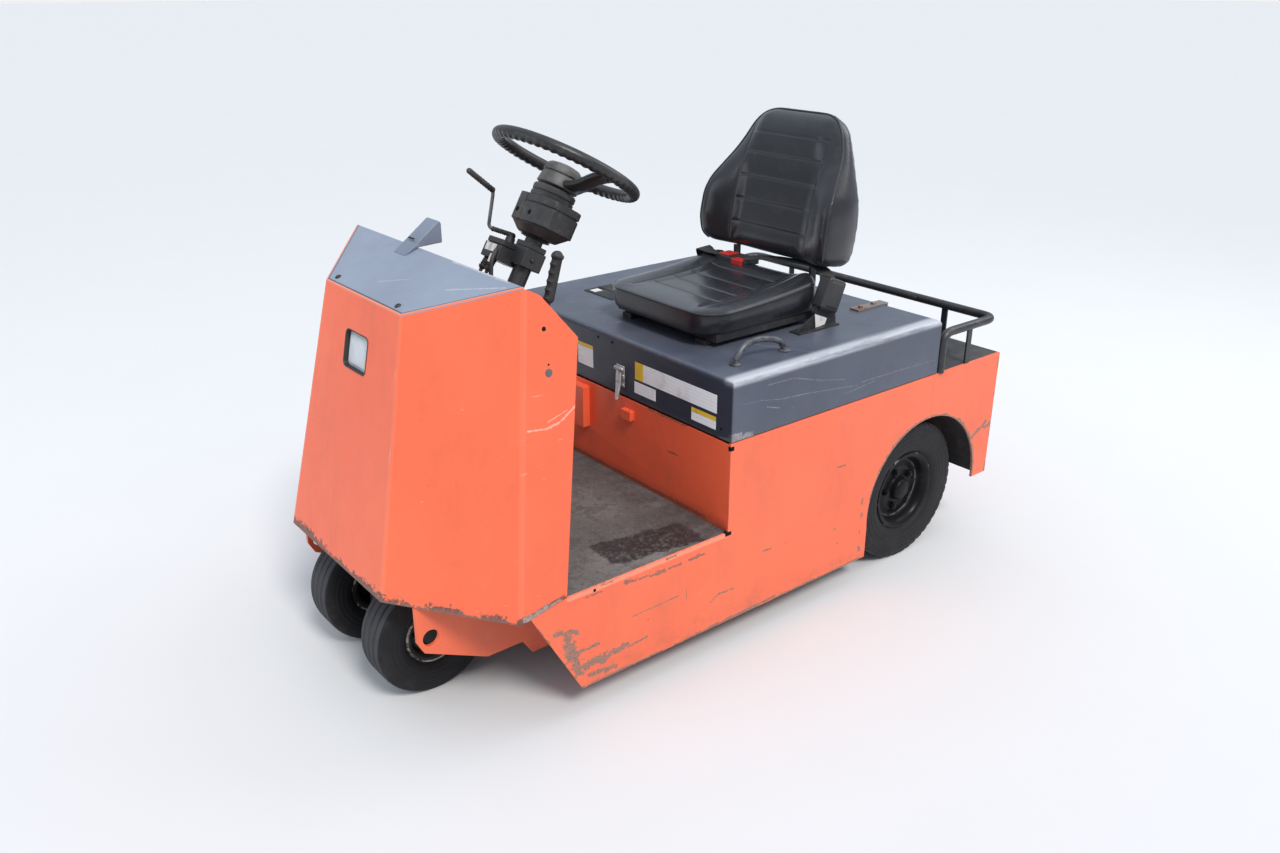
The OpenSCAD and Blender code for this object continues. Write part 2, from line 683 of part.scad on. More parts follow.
module front_rim_left() { front_at() rim(front_rim_r, front_w, 15.06, -10); }
module front_rim_right() { mirror([0, 1, 0]) front_rim_left(); }
module rear_tyre_left() { wheel_at(0, rear_y, rear_r) tyre(rear_r, rear_w, rear_rim_r); }
module rear_tyre_right() { mirror([0, 1, 0]) rear_tyre_left(); }
module rear_rim_left() { wheel_at(0, rear_y, rear_r) rim(rear_rim_r, rear_w, spindle_r + 0.06, -12); }
module rear_rim_right() { mirror([0, 1, 0]) rear_rim_left(); }

side_panel_left();
side_panel_right();
floor_plate();
riser_panel();
rear_panel();
rear_deck();
chassis_frame();
front_cowl();
cowl_top();
instrument_pod();
headlamp();
headlamp_lens();
battery();
rear_axle();
drive_motor();
wheel_arches();
tow_coupling();
tow_pin();
rear_rail();
hinge_brackets();
steering_column();
steering_gearbox();
column_cover();
direction_lever();
brake_lever();
pedals();
tail_lamps();
battery_hood();
hood_handle();
hood_latch();
hinge_straps();
seat_frame();
seat_cushion();
seat_back();
seat_belt();
steering_wheel();
front_axle();
front_tyre_left();
front_rim_left();
front_tyre_right();
front_rim_right();
rear_tyre_left();
rear_rim_left();
rear_tyre_right();
rear_rim_right();
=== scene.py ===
import math
import bmesh
import bpy
import numpy as np
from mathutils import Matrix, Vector
from mathutils.bvhtree import BVHTree


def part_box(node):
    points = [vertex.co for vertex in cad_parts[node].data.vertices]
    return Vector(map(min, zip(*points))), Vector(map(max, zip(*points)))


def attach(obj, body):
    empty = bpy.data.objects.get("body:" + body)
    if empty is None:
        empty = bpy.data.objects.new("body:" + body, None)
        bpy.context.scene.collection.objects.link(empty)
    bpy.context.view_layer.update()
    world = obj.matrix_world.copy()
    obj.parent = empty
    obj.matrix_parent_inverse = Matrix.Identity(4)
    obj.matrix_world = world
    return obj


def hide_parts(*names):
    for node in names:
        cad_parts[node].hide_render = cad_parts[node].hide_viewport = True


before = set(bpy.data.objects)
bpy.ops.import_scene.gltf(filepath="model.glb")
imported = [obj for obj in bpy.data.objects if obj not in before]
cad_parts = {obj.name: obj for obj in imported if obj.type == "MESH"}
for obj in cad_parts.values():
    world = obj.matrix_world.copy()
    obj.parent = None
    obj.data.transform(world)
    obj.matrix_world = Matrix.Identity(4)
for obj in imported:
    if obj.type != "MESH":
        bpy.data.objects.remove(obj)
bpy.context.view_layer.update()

# The view: a camera a little over two metres off the machine's left front corner, at head height,
# with the lens and the place of the photograph's own.
camera_place = Vector((1.828736, 2.192218, 1.592787))
camera_turn, camera_dip = 0.8934315, 0.3946935
camera_lens, sensor_width, sight = 30.654, 36.0, 120.0


def in_scene(name, data):
    """An object that holds some data, put into the scene at the origin."""
    made = bpy.data.objects.new(name, data)
    bpy.context.scene.collection.objects.link(made)
    return made


camera = in_scene("camera", bpy.data.cameras.new("camera"))
camera.data.sensor_fit, camera.data.sensor_width = "HORIZONTAL", sensor_width
camera.data.lens, camera.data.clip_end = camera_lens, sight
camera.location = camera_place
ahead = Vector((-math.cos(camera_turn) * math.cos(camera_dip),
                -math.sin(camera_turn) * math.cos(camera_dip),
                -math.sin(camera_dip)))
camera.rotation_euler = ahead.to_track_quat("-Z", "Y").to_euler()
bpy.context.scene.camera = camera

# The studio: a plain pale floor that runs out to the horizon, one broad soft sun over the left
# front, two weaker lamps, and an even pale sky.
floor_reach = 70.0


class Finish:
    """A material being mixed: each method adds nodes and returns their output."""

    def __init__(self, name):
        self.material = bpy.data.materials.new(name)
        self.material.use_nodes = True
        self.tree = self.material.node_tree
        self.shader = self.tree.nodes["Principled BSDF"]
        self.place = self.tree.nodes.new("ShaderNodeTexCoord").outputs["Object"]

    def node(self, kind, values=(), **settings):
        """A node with its settings, and its inputs from pairs of socket and value or output."""
        made = self.tree.nodes.new(kind)
        for key, value in settings.items():
            setattr(made, key, value)
        for key, value in values:
            self.feed(made.inputs[key], value)
        return made

    def feed(self, socket, value):
        """Links an output to a socket, or sets the socket to a plain value."""
        if isinstance(value, bpy.types.NodeSocket):
            self.tree.links.new(value, socket)
        elif hasattr(value, "__len__") and len(value) == 3 and socket.type == "RGBA":
            socket.default_value = (*value, 1.0)
        else:
            socket.default_value = value

    def stretched(self, x, y, z):
        """The place scaled along the three axes, for grain that runs one way."""
        return self.node("ShaderNodeMapping", [("Vector", self.place), ("Scale", (x, y, z))]).outputs[0]

    def noise(self, scale, detail=4.0, rough=0.55, place=None, offset=0.0):
        """Cloudy noise from 0 to 1, with bumps about 1 / scale metres across."""
        spot = place or self.place
        if offset:
            spot = self.node("ShaderNodeMapping",
                             [("Vector", spot), ("Location", (offset,) * 3)]).outputs[0]
        return self.node("ShaderNodeTexNoise", [("Vector", spot), ("Scale", scale), ("Detail", detail),
                                                ("Roughness", rough)]).outputs["Fac"]

    def patches(self, low, high, scale, detail=4.0, rough=0.55, place=None, offset=0.0):
        """Cloudy noise cut into patches: 0 where it is below low and 1 where it is above high."""
        return self.step(self.noise(scale, detail, rough, place, offset), low, high)

    def cells(self, scale):
        """Distance to the nearest of scattered points, about 1 / scale metres apart."""
        return self.node("ShaderNodeTexVoronoi",
                         [("Vector", self.place), ("Scale", scale)]).outputs["Distance"]

    def bands(self, scale, direction):
        """Even bands across X, Y or Z, as a wave from 0 to 1."""
        return self.node("ShaderNodeTexWave", [("Vector", self.place), ("Scale", scale)],
                         wave_type="BANDS", bands_direction=direction).outputs["Fac"]

    def step(self, value, low, high):
        """0 below low, 1 above high and smooth between; low over high turns it round."""
        flip = low > high
        return self.node("ShaderNodeMapRange", [("Value", value), ("From Min", min(low, high)),
                                                ("From Max", max(low, high)),
                                                ("To Min", 1.0 if flip else 0.0),
                                                ("To Max", 0.0 if flip else 1.0)],
                         interpolation_type="SMOOTHSTEP").outputs["Result"]

    def maths(self, kind, a, b):
        """One step of arithmetic, such as DIVIDE, on values or outputs."""
        return self.node("ShaderNodeMath", [(0, a), (1, b)], operation=kind).outputs[0]

    def times(self, a, b):
        """a multiplied by b."""
        return self.maths("MULTIPLY", a, b)

    def plus(self, a, b):
        """a and b added."""
        return self.maths("ADD", a, b)

    def less(self, a, b):
        """b taken from a."""
        return self.maths("SUBTRACT", a, b)

    def axis(self, which):
        """The place along X, Y or Z."""
        return self.node("ShaderNodeSeparateXYZ", [(0, self.place)]).outputs[which]

    def vectors(self, kind, a, b, socket=1, output=0):
        """One step of arithmetic on places or directions."""
        return self.node("ShaderNodeVectorMath", [(0, a), (socket, b)], operation=kind).outputs[output]

    def marks(self, strokes, keep=(1, 1, 1), ragged=0.9, grain=70.0, along=(1, 1, 1)):
        """1 on ragged strokes, each a start, an end and a half width in metres. keep drops an
        axis with a 0, so that a stroke shows through a sheet from either face. along stretches
        the raggedness where it is under 1."""
        spot = self.vectors("MULTIPLY", self.place, keep)
        best = None
        for start, end, width in strokes:
            start, end = (Vector([a * k for a, k in zip(place, keep)]) for place in (start, end))
            run = end - start
            off = self.vectors("SUBTRACT", spot, start)
            part = self.vectors("DOT_PRODUCT", off, run / max(run.length_squared, 1e-9), output="Value")
            part = self.node("ShaderNodeClamp", [(0, part)]).outputs[0]
            near = self.vectors("SCALE", run, part, "Scale")
            gap = self.maths("DIVIDE", self.vectors("DISTANCE", off, near, output="Value"), width)
            best = gap if best is None else self.maths("MINIMUM", best, gap)
        if ragged:
            cloud = self.noise(grain, 6, 0.72, self.stretched(*along))
            best = self.plus(best, self.times(self.less(cloud, 0.5), ragged * 4))
        return self.step(best, 1.05, 0.75)

    def mix(self, share, a, b):
        """Colour a where share is 0 and b where it is 1."""
        made = self.node("ShaderNodeMix", data_type="RGBA")
        for key, value in ((0, share), (6, a), (7, b)):
            self.feed(made.inputs[key], value)
        return made.outputs[2]

    def stained(self, base, share, mask, colour):
        """A base colour under a share of another colour where a mask is 1."""
        return self.mix(self.times(mask, share), base, colour)

    def blend_values(self, share, a, b):
        """Value a where share is 0 and b where it is 1."""
        made = self.node("ShaderNodeMix", data_type="FLOAT")
        for key, value in ((0, share), (2, a), (3, b)):
            self.feed(made.inputs[key], value)
        return made.outputs[0]

    def uneven(self, scale, spread, least, detail=4.0):
        """A value, mostly a roughness, that drifts with cloudy noise from least by a spread."""
        return self.plus(self.times(self.noise(scale, detail), spread), least)

    def bump(self, height, strength, depth=0.001):
        """A bump from a height, as the shader's normal."""
        return self.node("ShaderNodeBump", [("Height", height), ("Strength", strength),
                                            ("Distance", depth)]).outputs[0]

    def done(self, base, rough, relief=None, **others):
        """Sets colour, roughness, relief and other sockets of the shader, and gives the material."""
        if relief is not None:
            others["Normal"] = relief
        for key, value in {"Base_Color": base, "Roughness": rough, **others}.items():
            self.feed(self.shader.inputs[key.replace("_", " ")], value)
        return self.material


stage_mesh = bpy.data.meshes.new("studio_floor")
stage_mesh.from_pydata([(-floor_reach, -floor_reach, 0), (floor_reach, -floor_reach, 0),
                        (floor_reach, floor_reach, 0), (-floor_reach, floor_reach, 0)], [],
                        [(0, 1, 2, 3)])
f = Finish("studio_floor")
floor_tone = f.mix(f.noise(3.0), (0.63, 0.63, 0.63), (0.65, 0.65, 0.65))
stage_mesh.materials.append(f.done(floor_tone, 0.9, Specular_IOR_Level=0.2))
in_scene("studio_floor", stage_mesh)

sky_low, sky_high, sky_shown = (0.36, 0.40, 0.46, 1), (0.90, 1.00, 1.14, 1), (0.87, 0.88, 0.89, 1)
sky = bpy.data.worlds.new("studio_sky")
sky.use_nodes = True
sky_nodes, sky_links = sky.node_tree.nodes, sky.node_tree.links
sky_nodes.clear()
seen = sky_nodes.new("ShaderNodeLightPath")
either = sky_nodes.new("ShaderNodeMath")
either.operation = "MAXIMUM"
sky_links.new(seen.outputs["Is Camera Ray"], either.inputs[0])
sky_links.new(seen.outputs["Is Transmission Ray"], either.inputs[1])
sky_way = sky_nodes.new("ShaderNodeSeparateXYZ")
sky_links.new(sky_nodes.new("ShaderNodeTexCoord").outputs["Generated"], sky_way.inputs[0])
overhead = sky_nodes.new("ShaderNodeMix")
overhead.data_type = "RGBA"
overhead.inputs[6].default_value, overhead.inputs[7].default_value = sky_low, sky_high
sky_links.new(sky_way.outputs["Z"], overhead.inputs[0])
lit, backdrop = (sky_nodes.new("ShaderNodeBackground") for _ in range(2))
sky_links.new(overhead.outputs[2], lit.inputs["Color"])
backdrop.inputs["Color"].default_value = sky_shown
choice = sky_nodes.new("ShaderNodeMixShader")
for source, socket in ((either, 0), (lit, 1), (backdrop, 2)):
    sky_links.new(source.outputs[0], choice.inputs[socket])
sky_links.new(choice.outputs[0], sky_nodes.new("ShaderNodeOutputWorld").inputs["Surface"])
bpy.context.scene.world = sky


def lamp(name, kind, way, power, tint):
    """A lamp of a kind that shines along a way."""
    data = bpy.data.lights.new(name, kind)
    data.energy, data.color = power, tint
    made = in_scene(name, data)
    made.rotation_euler = Vector(way).to_track_quat("-Z", "Y").to_euler()
    return made


def soft_lamp(name, place, aim, size, watts, tint):
    """A square area lamp at a place, turned towards an aim."""
    made = lamp(name, "AREA", Vector(aim) - Vector(place), watts, tint)
    made.data.size, made.location = size, place


key_sun = lamp("key_sun", "SUN", (-0.16, -0.84, -1.0), 2.3, (1.0, 0.965, 0.92))
key_sun.data.angle = math.radians(16)
soft_lamp("fill_lamp", (4.2, -1.2, 2.2), (0.2, 0, 0.6), 2.6, 29, (0.92, 0.96, 1.0))
soft_lamp("back_lamp", (-3.0, 1.2, 3.2), (-0.1, 0, 0.8), 2.4, 38, (1.0, 1.0, 1.0))
bpy.context.scene.view_settings.view_transform = "Standard"

# Chassis frame: two long plates of 10 mm steel with tie-down noses, a swivel plate and a battery
# tray, cut, bent and welded, and sprayed orange with the body. Old paint, dirtier lower down.
rear_axle_x = (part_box("rear_tyre_left")[0].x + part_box("rear_tyre_left")[1].x) / 2


def x_of(x):
    """Metres along X, from millimetres ahead of the rear axle."""
    return rear_axle_x + x / 1000


def at(x, y, z):
    """A place in metres, from millimetres ahead of the rear axle, left of the middle and up."""
    return Vector((x_of(x), y / 1000, z / 1000))


def smooth_but_sharp(mesh, angle):
    """Shades a mesh smooth, with creases left where faces meet at more than an angle in degrees."""
    mesh.shade_smooth()
    mesh.set_sharp_from_angle(angle=math.radians(angle))


def round_edges(made, width, segments, angle):
    """Rounds the edges sharper than an angle in degrees to a width in metres."""
    bevel = made.modifiers.new("rounded_edges", "BEVEL")
    bevel.width, bevel.segments, bevel.limit_method = width, segments, "ANGLE"
    bevel.angle_limit, bevel.harden_normals = math.radians(angle), True


def fit_out(made, material, body, slot, *nodes):
    """Gives a piece its material, body and the CAD nodes that it stands for; slot is not used."""
    made.data.materials.clear()
    made.data.materials.append(material)
    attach(made, body)
    if nodes:
        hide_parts(*nodes)


def refit(node, name, width, material, body, slot, segments=2, angle=28):
    """Puts a copy of a CAD node in its place, with its faces merged and its edges rounded to a width in
    metres, with its material and body."""
    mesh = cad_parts[node].data.copy()
    mesh.name = name
    work = bmesh.new()
    work.from_mesh(mesh)
    bmesh.ops.remove_doubles(work, verts=work.verts, dist=1e-6)
    bmesh.ops.dissolve_limit(work, angle_limit=math.radians(0.6), verts=work.verts, edges=work.edges)
    work.to_mesh(mesh)
    work.free()
    smooth_but_sharp(mesh, angle)
    made = in_scene(name, mesh)
    round_edges(made, width, segments, angle)
    fit_out(made, material, body, slot, node)


def enamel(name, colour, dark, dirt=(0.10, 0.075, 0.055), rust_share=1.0, gloss=0.36, low_dirt=0.17,
           wave=0.6):
    """Old enamel: cloudy fading, fine scratches, rust chips and dirt that gathers low down. Gives
    the finish, its colour, its roughness and its relief as outputs still to be joined up."""
    f = Finish(name)
    base = f.mix(f.patches(0.3, 0.75, 2.3, 5, 0.6), dark, colour)
    base = f.stained(base, 0.16, f.patches(0.42, 0.8, 9.0, 7, 0.75, f.stretched(1, 1, 0.5), 3.0), dirt)
    hair = f.patches(0.70, 0.73, 210.0, 2, 0.5, f.stretched(0.10, 0.35, 1.0), 1.7)
    hair = f.times(hair, f.patches(0.52, 0.62, 5.0, 3, 0.6, None, 9.0))
    base = f.stained(base, 0.30, hair, (0.62, 0.52, 0.46))
    chips = f.times(f.patches(0.715, 0.735, 62.0, 5, 0.68, None, 5.0), rust_share)
    base = f.mix(chips, base, (0.15, 0.075, 0.045))
    base = f.stained(base, 0.45, f.patches(0.71, 0.75, 420.0, 2, 0.5, None, 7.0), (0.22, 0.12, 0.08))
    grime = f.patches(0.42, 0.72, 17.0, 7, 0.75, None, 2.0)
    base = f.stained(base, 0.5, f.times(f.step(f.axis("Z"), low_dirt, 0.03), grime), dirt)
    rough = f.blend_values(chips, f.uneven(16.0, 0.22, gloss - 0.08), 0.85)
    height = f.less(f.times(f.noise(130.0, 3), 0.10), chips)
    height = f.plus(height, f.times(f.noise(4.5, 2, 0.4, None, 4.0), wave * 14))
    return f, base, rough, f.bump(height, 0.35, 0.0006)


orange, orange_dark = (0.86, 0.158, 0.068), (0.80, 0.136, 0.058)
f, base, rough, relief = enamel("orange_frame_enamel", orange, orange_dark)
refit("chassis_frame", "frame_plates", 0.0018, f.done(base, rough, relief), "chassis", "orange_paint")

# Side panels: one 6 mm sheet a side from tail to sill, flame-cut for the wheel arch and welded to
# the deck. Boots and carts have rubbed the sill's top edge and the panel's middle down to steel.
arch_x, arch_z, arch_radius = -38, 195, 243
sill_rub = [((1162, 312), (1118, 310), 2), ((1052, 306), (1022, 304), 5), ((1012, 302), (985, 301), 3),
            ((978, 300), (934, 296), 5), ((922, 296), (884, 297), 2.5), ((858, 298), (812, 299), 4),
            ((1120, 326), (1090, 326), 2.5), ((930, 325), (900, 325), 2.0)]
nose_rub = [((1246, 250), (1190, 232), 7), ((1214, 222), (1206, 176), 16), ((1204, 186), (1186, 122), 14),
            ((1169, 134), (1112, 133), 13), ((1112, 133), (1048, 140), 9), ((1157, 103), (1080, 94), 7),
            ((1205, 178), (1130, 176), 5), ((1240, 178), (1225, 160), 5), ((1296, 280), (1265, 231), 4)]
middle_rub = [((1038, 132), (988, 136), 3), ((1030, 209), (890, 211), 1.6), ((786, 152), (757, 166), 2),
              ((757, 166), (709, 163), 2.5), ((606, 235), (579, 233), 3), ((866, 222), (864, 193), 1.4),
              ((341, 392), (309, 389), 2.6), ((336, 207), (335, 206), 3), ((322, 159), (321, 158), 3),
              ((830, 78), (556, 82), 4)]
by_arch_nicks = [((228, 262), (228, 250), 4), ((226, 216), (226, 207), 5), ((230, 170), (229, 158), 3.5),
                 ((228, 118), (225, 104), 5), ((-270, 257), (-271, 259), 5)]
tail_nicks = [((-345, 434), (-344, 437), 4), ((-344, 181), (-343, 214), 4), ((-345, 300), (-345, 318), 4),
              ((-344, 520), (-344, 548), 3.5)]
left_rub = nose_rub + middle_rub + by_arch_nicks + tail_nicks
right_rub = [((1150, 300), (900, 304), 6), ((1100, 190), (980, 205), 6), ((620, 260), (470, 250), 3),
             ((700, 130), (560, 110), 7), ((-200, 500), (-120, 490), 3), ((330, 420), (240, 300), 2)]
tail_rub = [((-347, 330), (-347, 392), 4.5), ((-347, 436), (-347, 470), 3), ((-258, 318), (-290, 338), 6),
            ((-300, 340), (-318, 352), 7), ((-316, 334), (-338, 342), 6)]
foot_rub = [((1180, 78), (940, 77), 3), ((900, 77), (620, 77), 2.4), ((560, 77), (220, 77), 3)]
arch_bites = ((0.25, 4), (0.6, 6), (0.9, 7), (1.25, 5), (1.6, 5), (1.9, 4), (2.2, 6), (2.5, 7), (2.8, 6),
              (3.1, 5))


def on_arch(angle):
    """A place on the wheel arch's edge, at an angle in radians up from the front."""
    return arch_x + arch_radius * math.cos(angle), arch_z + arch_radius * math.sin(angle)


def on_face(axis, level, strokes):
    """Strokes drawn flat on a face in millimetres, each a start, an end and a half width, as
    places and half widths in metres. The face stands across an axis at a level."""
    which = "xyz".index(axis)
    return [(at(*a[:which], level, *a[which:]), at(*b[:which], level, *b[which:]), width / 1000)
            for a, b, width in strokes]


def worn(f, base, rough, strokes, keep=(1, 1, 1), colour=(0.24, 0.17, 0.13), ragged=0.9, share=1.0,
         grain=70.0, along=(1, 1, 1), rusty=0.5):
    """Adds paint worn off along strokes, bare in two ragged tones. Gives colour and roughness."""
    tones = f.patches(0.42, 0.62, grain * 2.2, 5, 0.75, f.stretched(*along), 3.0)
    bare = f.stained(colour, rusty, tones, (0.115, 0.060, 0.042))
    mask = f.marks(strokes, keep, ragged, grain, along)
    thin = f.patches(0.36, 0.52, grain * 3.5, 4, 0.7, f.stretched(*along), 6.0)
    mask = f.times(f.times(mask, f.blend_values(thin, 0.35, 1.0)), share)
    return f.mix(mask, base, bare), f.blend_values(mask, rough, 0.62)


arch_rub = [(on_arch(angle), on_arch(angle + 0.3), width) for angle, width in arch_bites]
flat = (1, 0, 1)
for side, rubs in (("left", left_rub), ("right", right_rub)):
    f, base, rough, relief = enamel("orange_" + side + "_panel_enamel", orange, orange_dark)
    # Painted highlight: a lighter pink line along the sill's top edge.
    lip = f.marks(on_face("y", 0, [((740, 324), (1210, 323), 6)]), flat, 0.25)
    base = f.stained(base, 0.5, lip, (0.86, 0.36, 0.24))
    bare = on_face("y", 0, rubs + arch_rub + tail_rub + foot_rub)
    base, rough = worn(f, base, rough, bare, flat, ragged=1.2, grain=80.0, along=(0.7, 1, 1))
    edge = on_face("y", 0, sill_rub)
    base, rough = worn(f, base, rough, edge, flat, (0.19, 0.12, 0.10), 1.9, 0.9, 130.0, (0.5, 1, 1.1))
    seam = f.marks(on_face("y", 0, [((-40, 182), (-40, 560), 1.6)]), flat, 0.05)
    base = f.stained(base, 0.25, seam, (0.30, 0.08, 0.04))
    refit("side_panel_" + side, "side_sheet_" + side, 0.0022, f.done(base, rough, relief), "chassis",
          "orange_paint")

# Floor: a plain steel plate with a toe board bent up under the cowl. Its paint is long gone under
# trodden-in dirt, and a dried patch of black tar lies near the driver's left foot.
tar_back, tar_front, tar_right, tar_left, tar_skew = 790, 1044, 326, 446, 0.16
f = Finish("trodden_floor")
base = f.mix(f.patches(0.3, 0.7, 5.0, 7, 0.7), (0.100, 0.086, 0.080), (0.215, 0.196, 0.184))
base = f.stained(base, 0.65, f.patches(0.46, 0.60, 20.0, 7, 0.78), (0.052, 0.038, 0.032))
base = f.stained(base, 0.45, f.patches(0.56, 0.68, 190.0, 4, 0.7), (0.36, 0.32, 0.29))
ragged_x = f.plus(f.axis("X"), f.times(f.less(f.noise(34.0, 6, 0.75), 0.5), 0.055))
ragged_y = f.plus(f.axis("Y"), f.times(f.less(f.noise(34.0, 6, 0.75, None, 8.0), 0.5), 0.055))
skewed_y = f.less(ragged_y, f.times(f.less(x_of(1040), ragged_x), tar_skew))
tar = f.times(f.step(ragged_x, x_of(tar_back), x_of(tar_back + 12)),
              f.step(ragged_x, x_of(tar_front), x_of(tar_front - 8)))
tar = f.times(tar, f.step(skewed_y, tar_right / 1000, (tar_right + 10) / 1000))
tar = f.times(tar, f.step(skewed_y, tar_left / 1000, (tar_left - 8) / 1000))
tar = f.times(tar, f.blend_values(f.patches(0.36, 0.54, 90.0, 6, 0.78, None, 4.0), 0.35, 1.0))
base = f.mix(tar, base, (0.024, 0.020, 0.019))
# Painted shade: the floor is darker toward the front, under the cowl.
base = f.stained(base, 0.5, f.step(f.axis("X"), x_of(1150), x_of(1225)), (0.045, 0.038, 0.034))
# Painted shade: the floor is darkened in blotches in the footwell's corner by the riser.
shade_blotches = f.blend_values(f.patches(0.36, 0.6, 24.0, 6, 0.7), 0.45, 1.0)
shade_by_riser = f.times(f.step(ragged_x, x_of(905), x_of(742)), shade_blotches)
base = f.stained(base, 0.7, shade_by_riser, (0.038, 0.031, 0.033))
height = f.plus(f.noise(60.0, 5, 0.7), f.times(tar, 0.8))
trodden = f.done(base, f.blend_values(tar, 0.72, 0.45), f.bump(height, 0.6, 0.0012))
refit("floor_plate", "floor_sheet", 0.001, trodden, "chassis", "worn_floor")

# Riser and tail: the sheet between footwell and battery, with a folded channel and the hood's
# catch welded on, and the sheet that closes the back. Shins and heels have scuffed the riser.
riser_face = 733
# Painted light: the riser's paint is a brighter, redder orange than the frame's, to make up for the shade
# of the footwell it stands in.
f, base, rough, relief = enamel("orange_riser_enamel", (0.95, 0.138, 0.052), (0.88, 0.118, 0.045))
cloudy = f.blend_values(f.patches(0.30, 0.70, 30.0, 7, 0.78), 0.55, 1.0)
base = f.stained(base, 0.6, f.times(f.step(f.axis("Z"), 0.368, 0.326), cloudy), (0.050, 0.022, 0.016))
heels = [((400, 338), (-380, 336), 5), ((300, 470), (262, 468), 3), ((330, 560), (180, 559), 3)]
base, rough = worn(f, base, rough, on_face("x", riser_face, heels), (0, 1, 1), (0.10, 0.065, 0.050), 1.3,
                   0.7, along=(1, 0.5, 1))
refit("riser_panel", "riser_sheet", 0.0012, f.done(base, rough, relief), "chassis", "orange_paint")
f, base, rough, relief = enamel("orange_tail_enamel", orange, orange_dark, rust_share=1.3)
refit("rear_panel", "tail_sheet", 0.004, f.done(base, rough, relief), "chassis", "orange_paint")

# Rear deck: a flat plate welded over the battery bay's back end, where small loads ride. Its
# black paint has gone dark and dull with oil and grit.
f = Finish("greasy_deck")
base = f.mix(f.patches(0.3, 0.7, 8.0, 6, 0.65), (0.026, 0.025, 0.026), (0.062, 0.058, 0.057))
base = f.stained(base, 0.5, f.patches(0.58, 0.68, 90.0, 4, 0.7), (0.17, 0.145, 0.13))
greasy = f.done(base, f.uneven(11.0, 0.3, 0.45), f.bump(f.noise(90.0, 5, 0.7), 0.5))
refit("rear_deck", "deck_sheet", 0.001, greasy, "chassis", "black_paint")

# Rear axle, drive motor and battery: an iron axle tube with brake plates, a round motor ahead of
# the tail and the battery's steel box, all bolted in and coated in oily dust.


def worn_black(name, colour=(0.012, 0.012, 0.014), dust_and_sheen=(0.095, 0.082, 0.072), share=0.45, gloss=0.40,
               bare=0.2):
    """Black enamel or cast metal with dust in its hollows and bare metal where it is rubbed."""
    f = Finish(name)
    base = f.mix(f.patches(0.35, 0.7, 5.0), colour, tuple(1.9 * c + 0.004 for c in colour))
    base = f.stained(base, share, f.patches(0.48, 0.74, 15.0, 7, 0.75, None, 3.0), dust_and_sheen)
    rub = f.times(f.patches(0.63, 0.69, 60.0, 6, 0.75, None, 6.0), bare)
    base = f.mix(rub, base, (0.32, 0.31, 0.30))
    height = f.plus(f.noise(90.0, 4, 0.6), f.times(rub, -0.4))
    return f.done(base, f.uneven(20.0, 0.25, gloss - 0.10), f.bump(height, 0.4, 0.0007))


cast_black = worn_black("oily_black_iron", share=0.5, gloss=0.5)
refit("rear_axle", "axle_casting", 0.003, cast_black, "chassis", "black_paint")
dull_grey = worn_black("dusty_grey_iron", (0.045, 0.047, 0.050), share=0.55, gloss=0.5)
refit("drive_motor", "motor_can", 0.006, dull_grey, "chassis", "grey_paint")
refit("battery", "battery_box", 0.003, dull_grey, "chassis", "grey_paint")

# Wheel arches: curved steel liners that are welded between the frame plates and the side sheets.
# They keep the tyres' dirt out of the battery bay, and are sprayed with black underseal.
underseal = worn_black("black_underseal", share=0.5, gloss=0.7, bare=0.0)
refit("wheel_arches", "arch_liners", 0.0008, underseal, "chassis", "black_paint")

# Tow coupling: two welded plates with round ends on a bolted base, closed by a drop pin with a
# pull ring. Carts have worn its black paint to steel where their rings rub.


def sheet_of(places, loop=False):
    """A shape, as an array of places in millimetres and a list of faces, from closed rows of places:
    an array of rows by columns by three. loop joins the last row to the first row; without it both
    end rows are closed by a face."""
    places = np.asarray(places, dtype=float)
    rows, cols = places.shape[:2]
    index = np.arange(rows * cols).reshape(rows, cols)
    quads = np.stack([index, np.roll(index, -1, 1), np.roll(index, (-1, -1), (0, 1)),
                      np.roll(index, -1, 0)], -1)
    if loop:
        return places.reshape(-1, 3), quads.reshape(-1, 4).tolist()
    faces = quads[:-1].reshape(-1, 4).tolist()
    return places.reshape(-1, 3), faces + [index[0][::-1].tolist(), index[-1].tolist()]


def slab(outline, low, high, axis="y"):
    """A flat plate: an outline drawn in the two other axes, from low to high along one axis."""
    outline = np.asarray(outline, dtype=float)
    return sheet_of([np.insert(outline, "xyz".index(axis), level, axis=1) for level in (low, high)])


def hexagon(centre, size, low, high, axis="x", turn=0.0):
    """A hexagon head or nut, size across its corners, from low to high along an axis."""
    angle = np.radians(np.arange(6) * 60 + turn)
    outline = np.stack([centre[0] + size / 2 * np.cos(angle), centre[1] + size / 2 * np.sin(angle)], -1)
    return slab(outline, low, high, axis)


def piece(name, parts, material, body, slot, nodes=(), edge=0.0, angle=32, segments=2):
    """Shapes joined into one piece, its faces turned outward and its edges rounded to a width in
    millimetres, with its material, body and the CAD nodes that it stands for."""
    verts, faces, count = [], [], 0
    for part_verts, part_faces in parts:
        verts.append(part_verts)
        faces += [[i + count for i in face] for face in part_faces]
        count += len(part_verts)
    verts = np.concatenate(verts) / 1000 + (rear_axle_x, 0, 0)
    mesh = bpy.data.meshes.new(name)
    mesh.from_pydata(verts.tolist(), [], faces)
    work = bmesh.new()
    work.from_mesh(mesh)
    bmesh.ops.recalc_face_normals(work, faces=work.faces)
    work.to_mesh(mesh)
    work.free()
    smooth_but_sharp(mesh, angle)
    made = in_scene(name, mesh)
    if edge:
        round_edges(made, edge / 1000, segments, angle)
    fit_out(made, material, body, slot, *nodes)


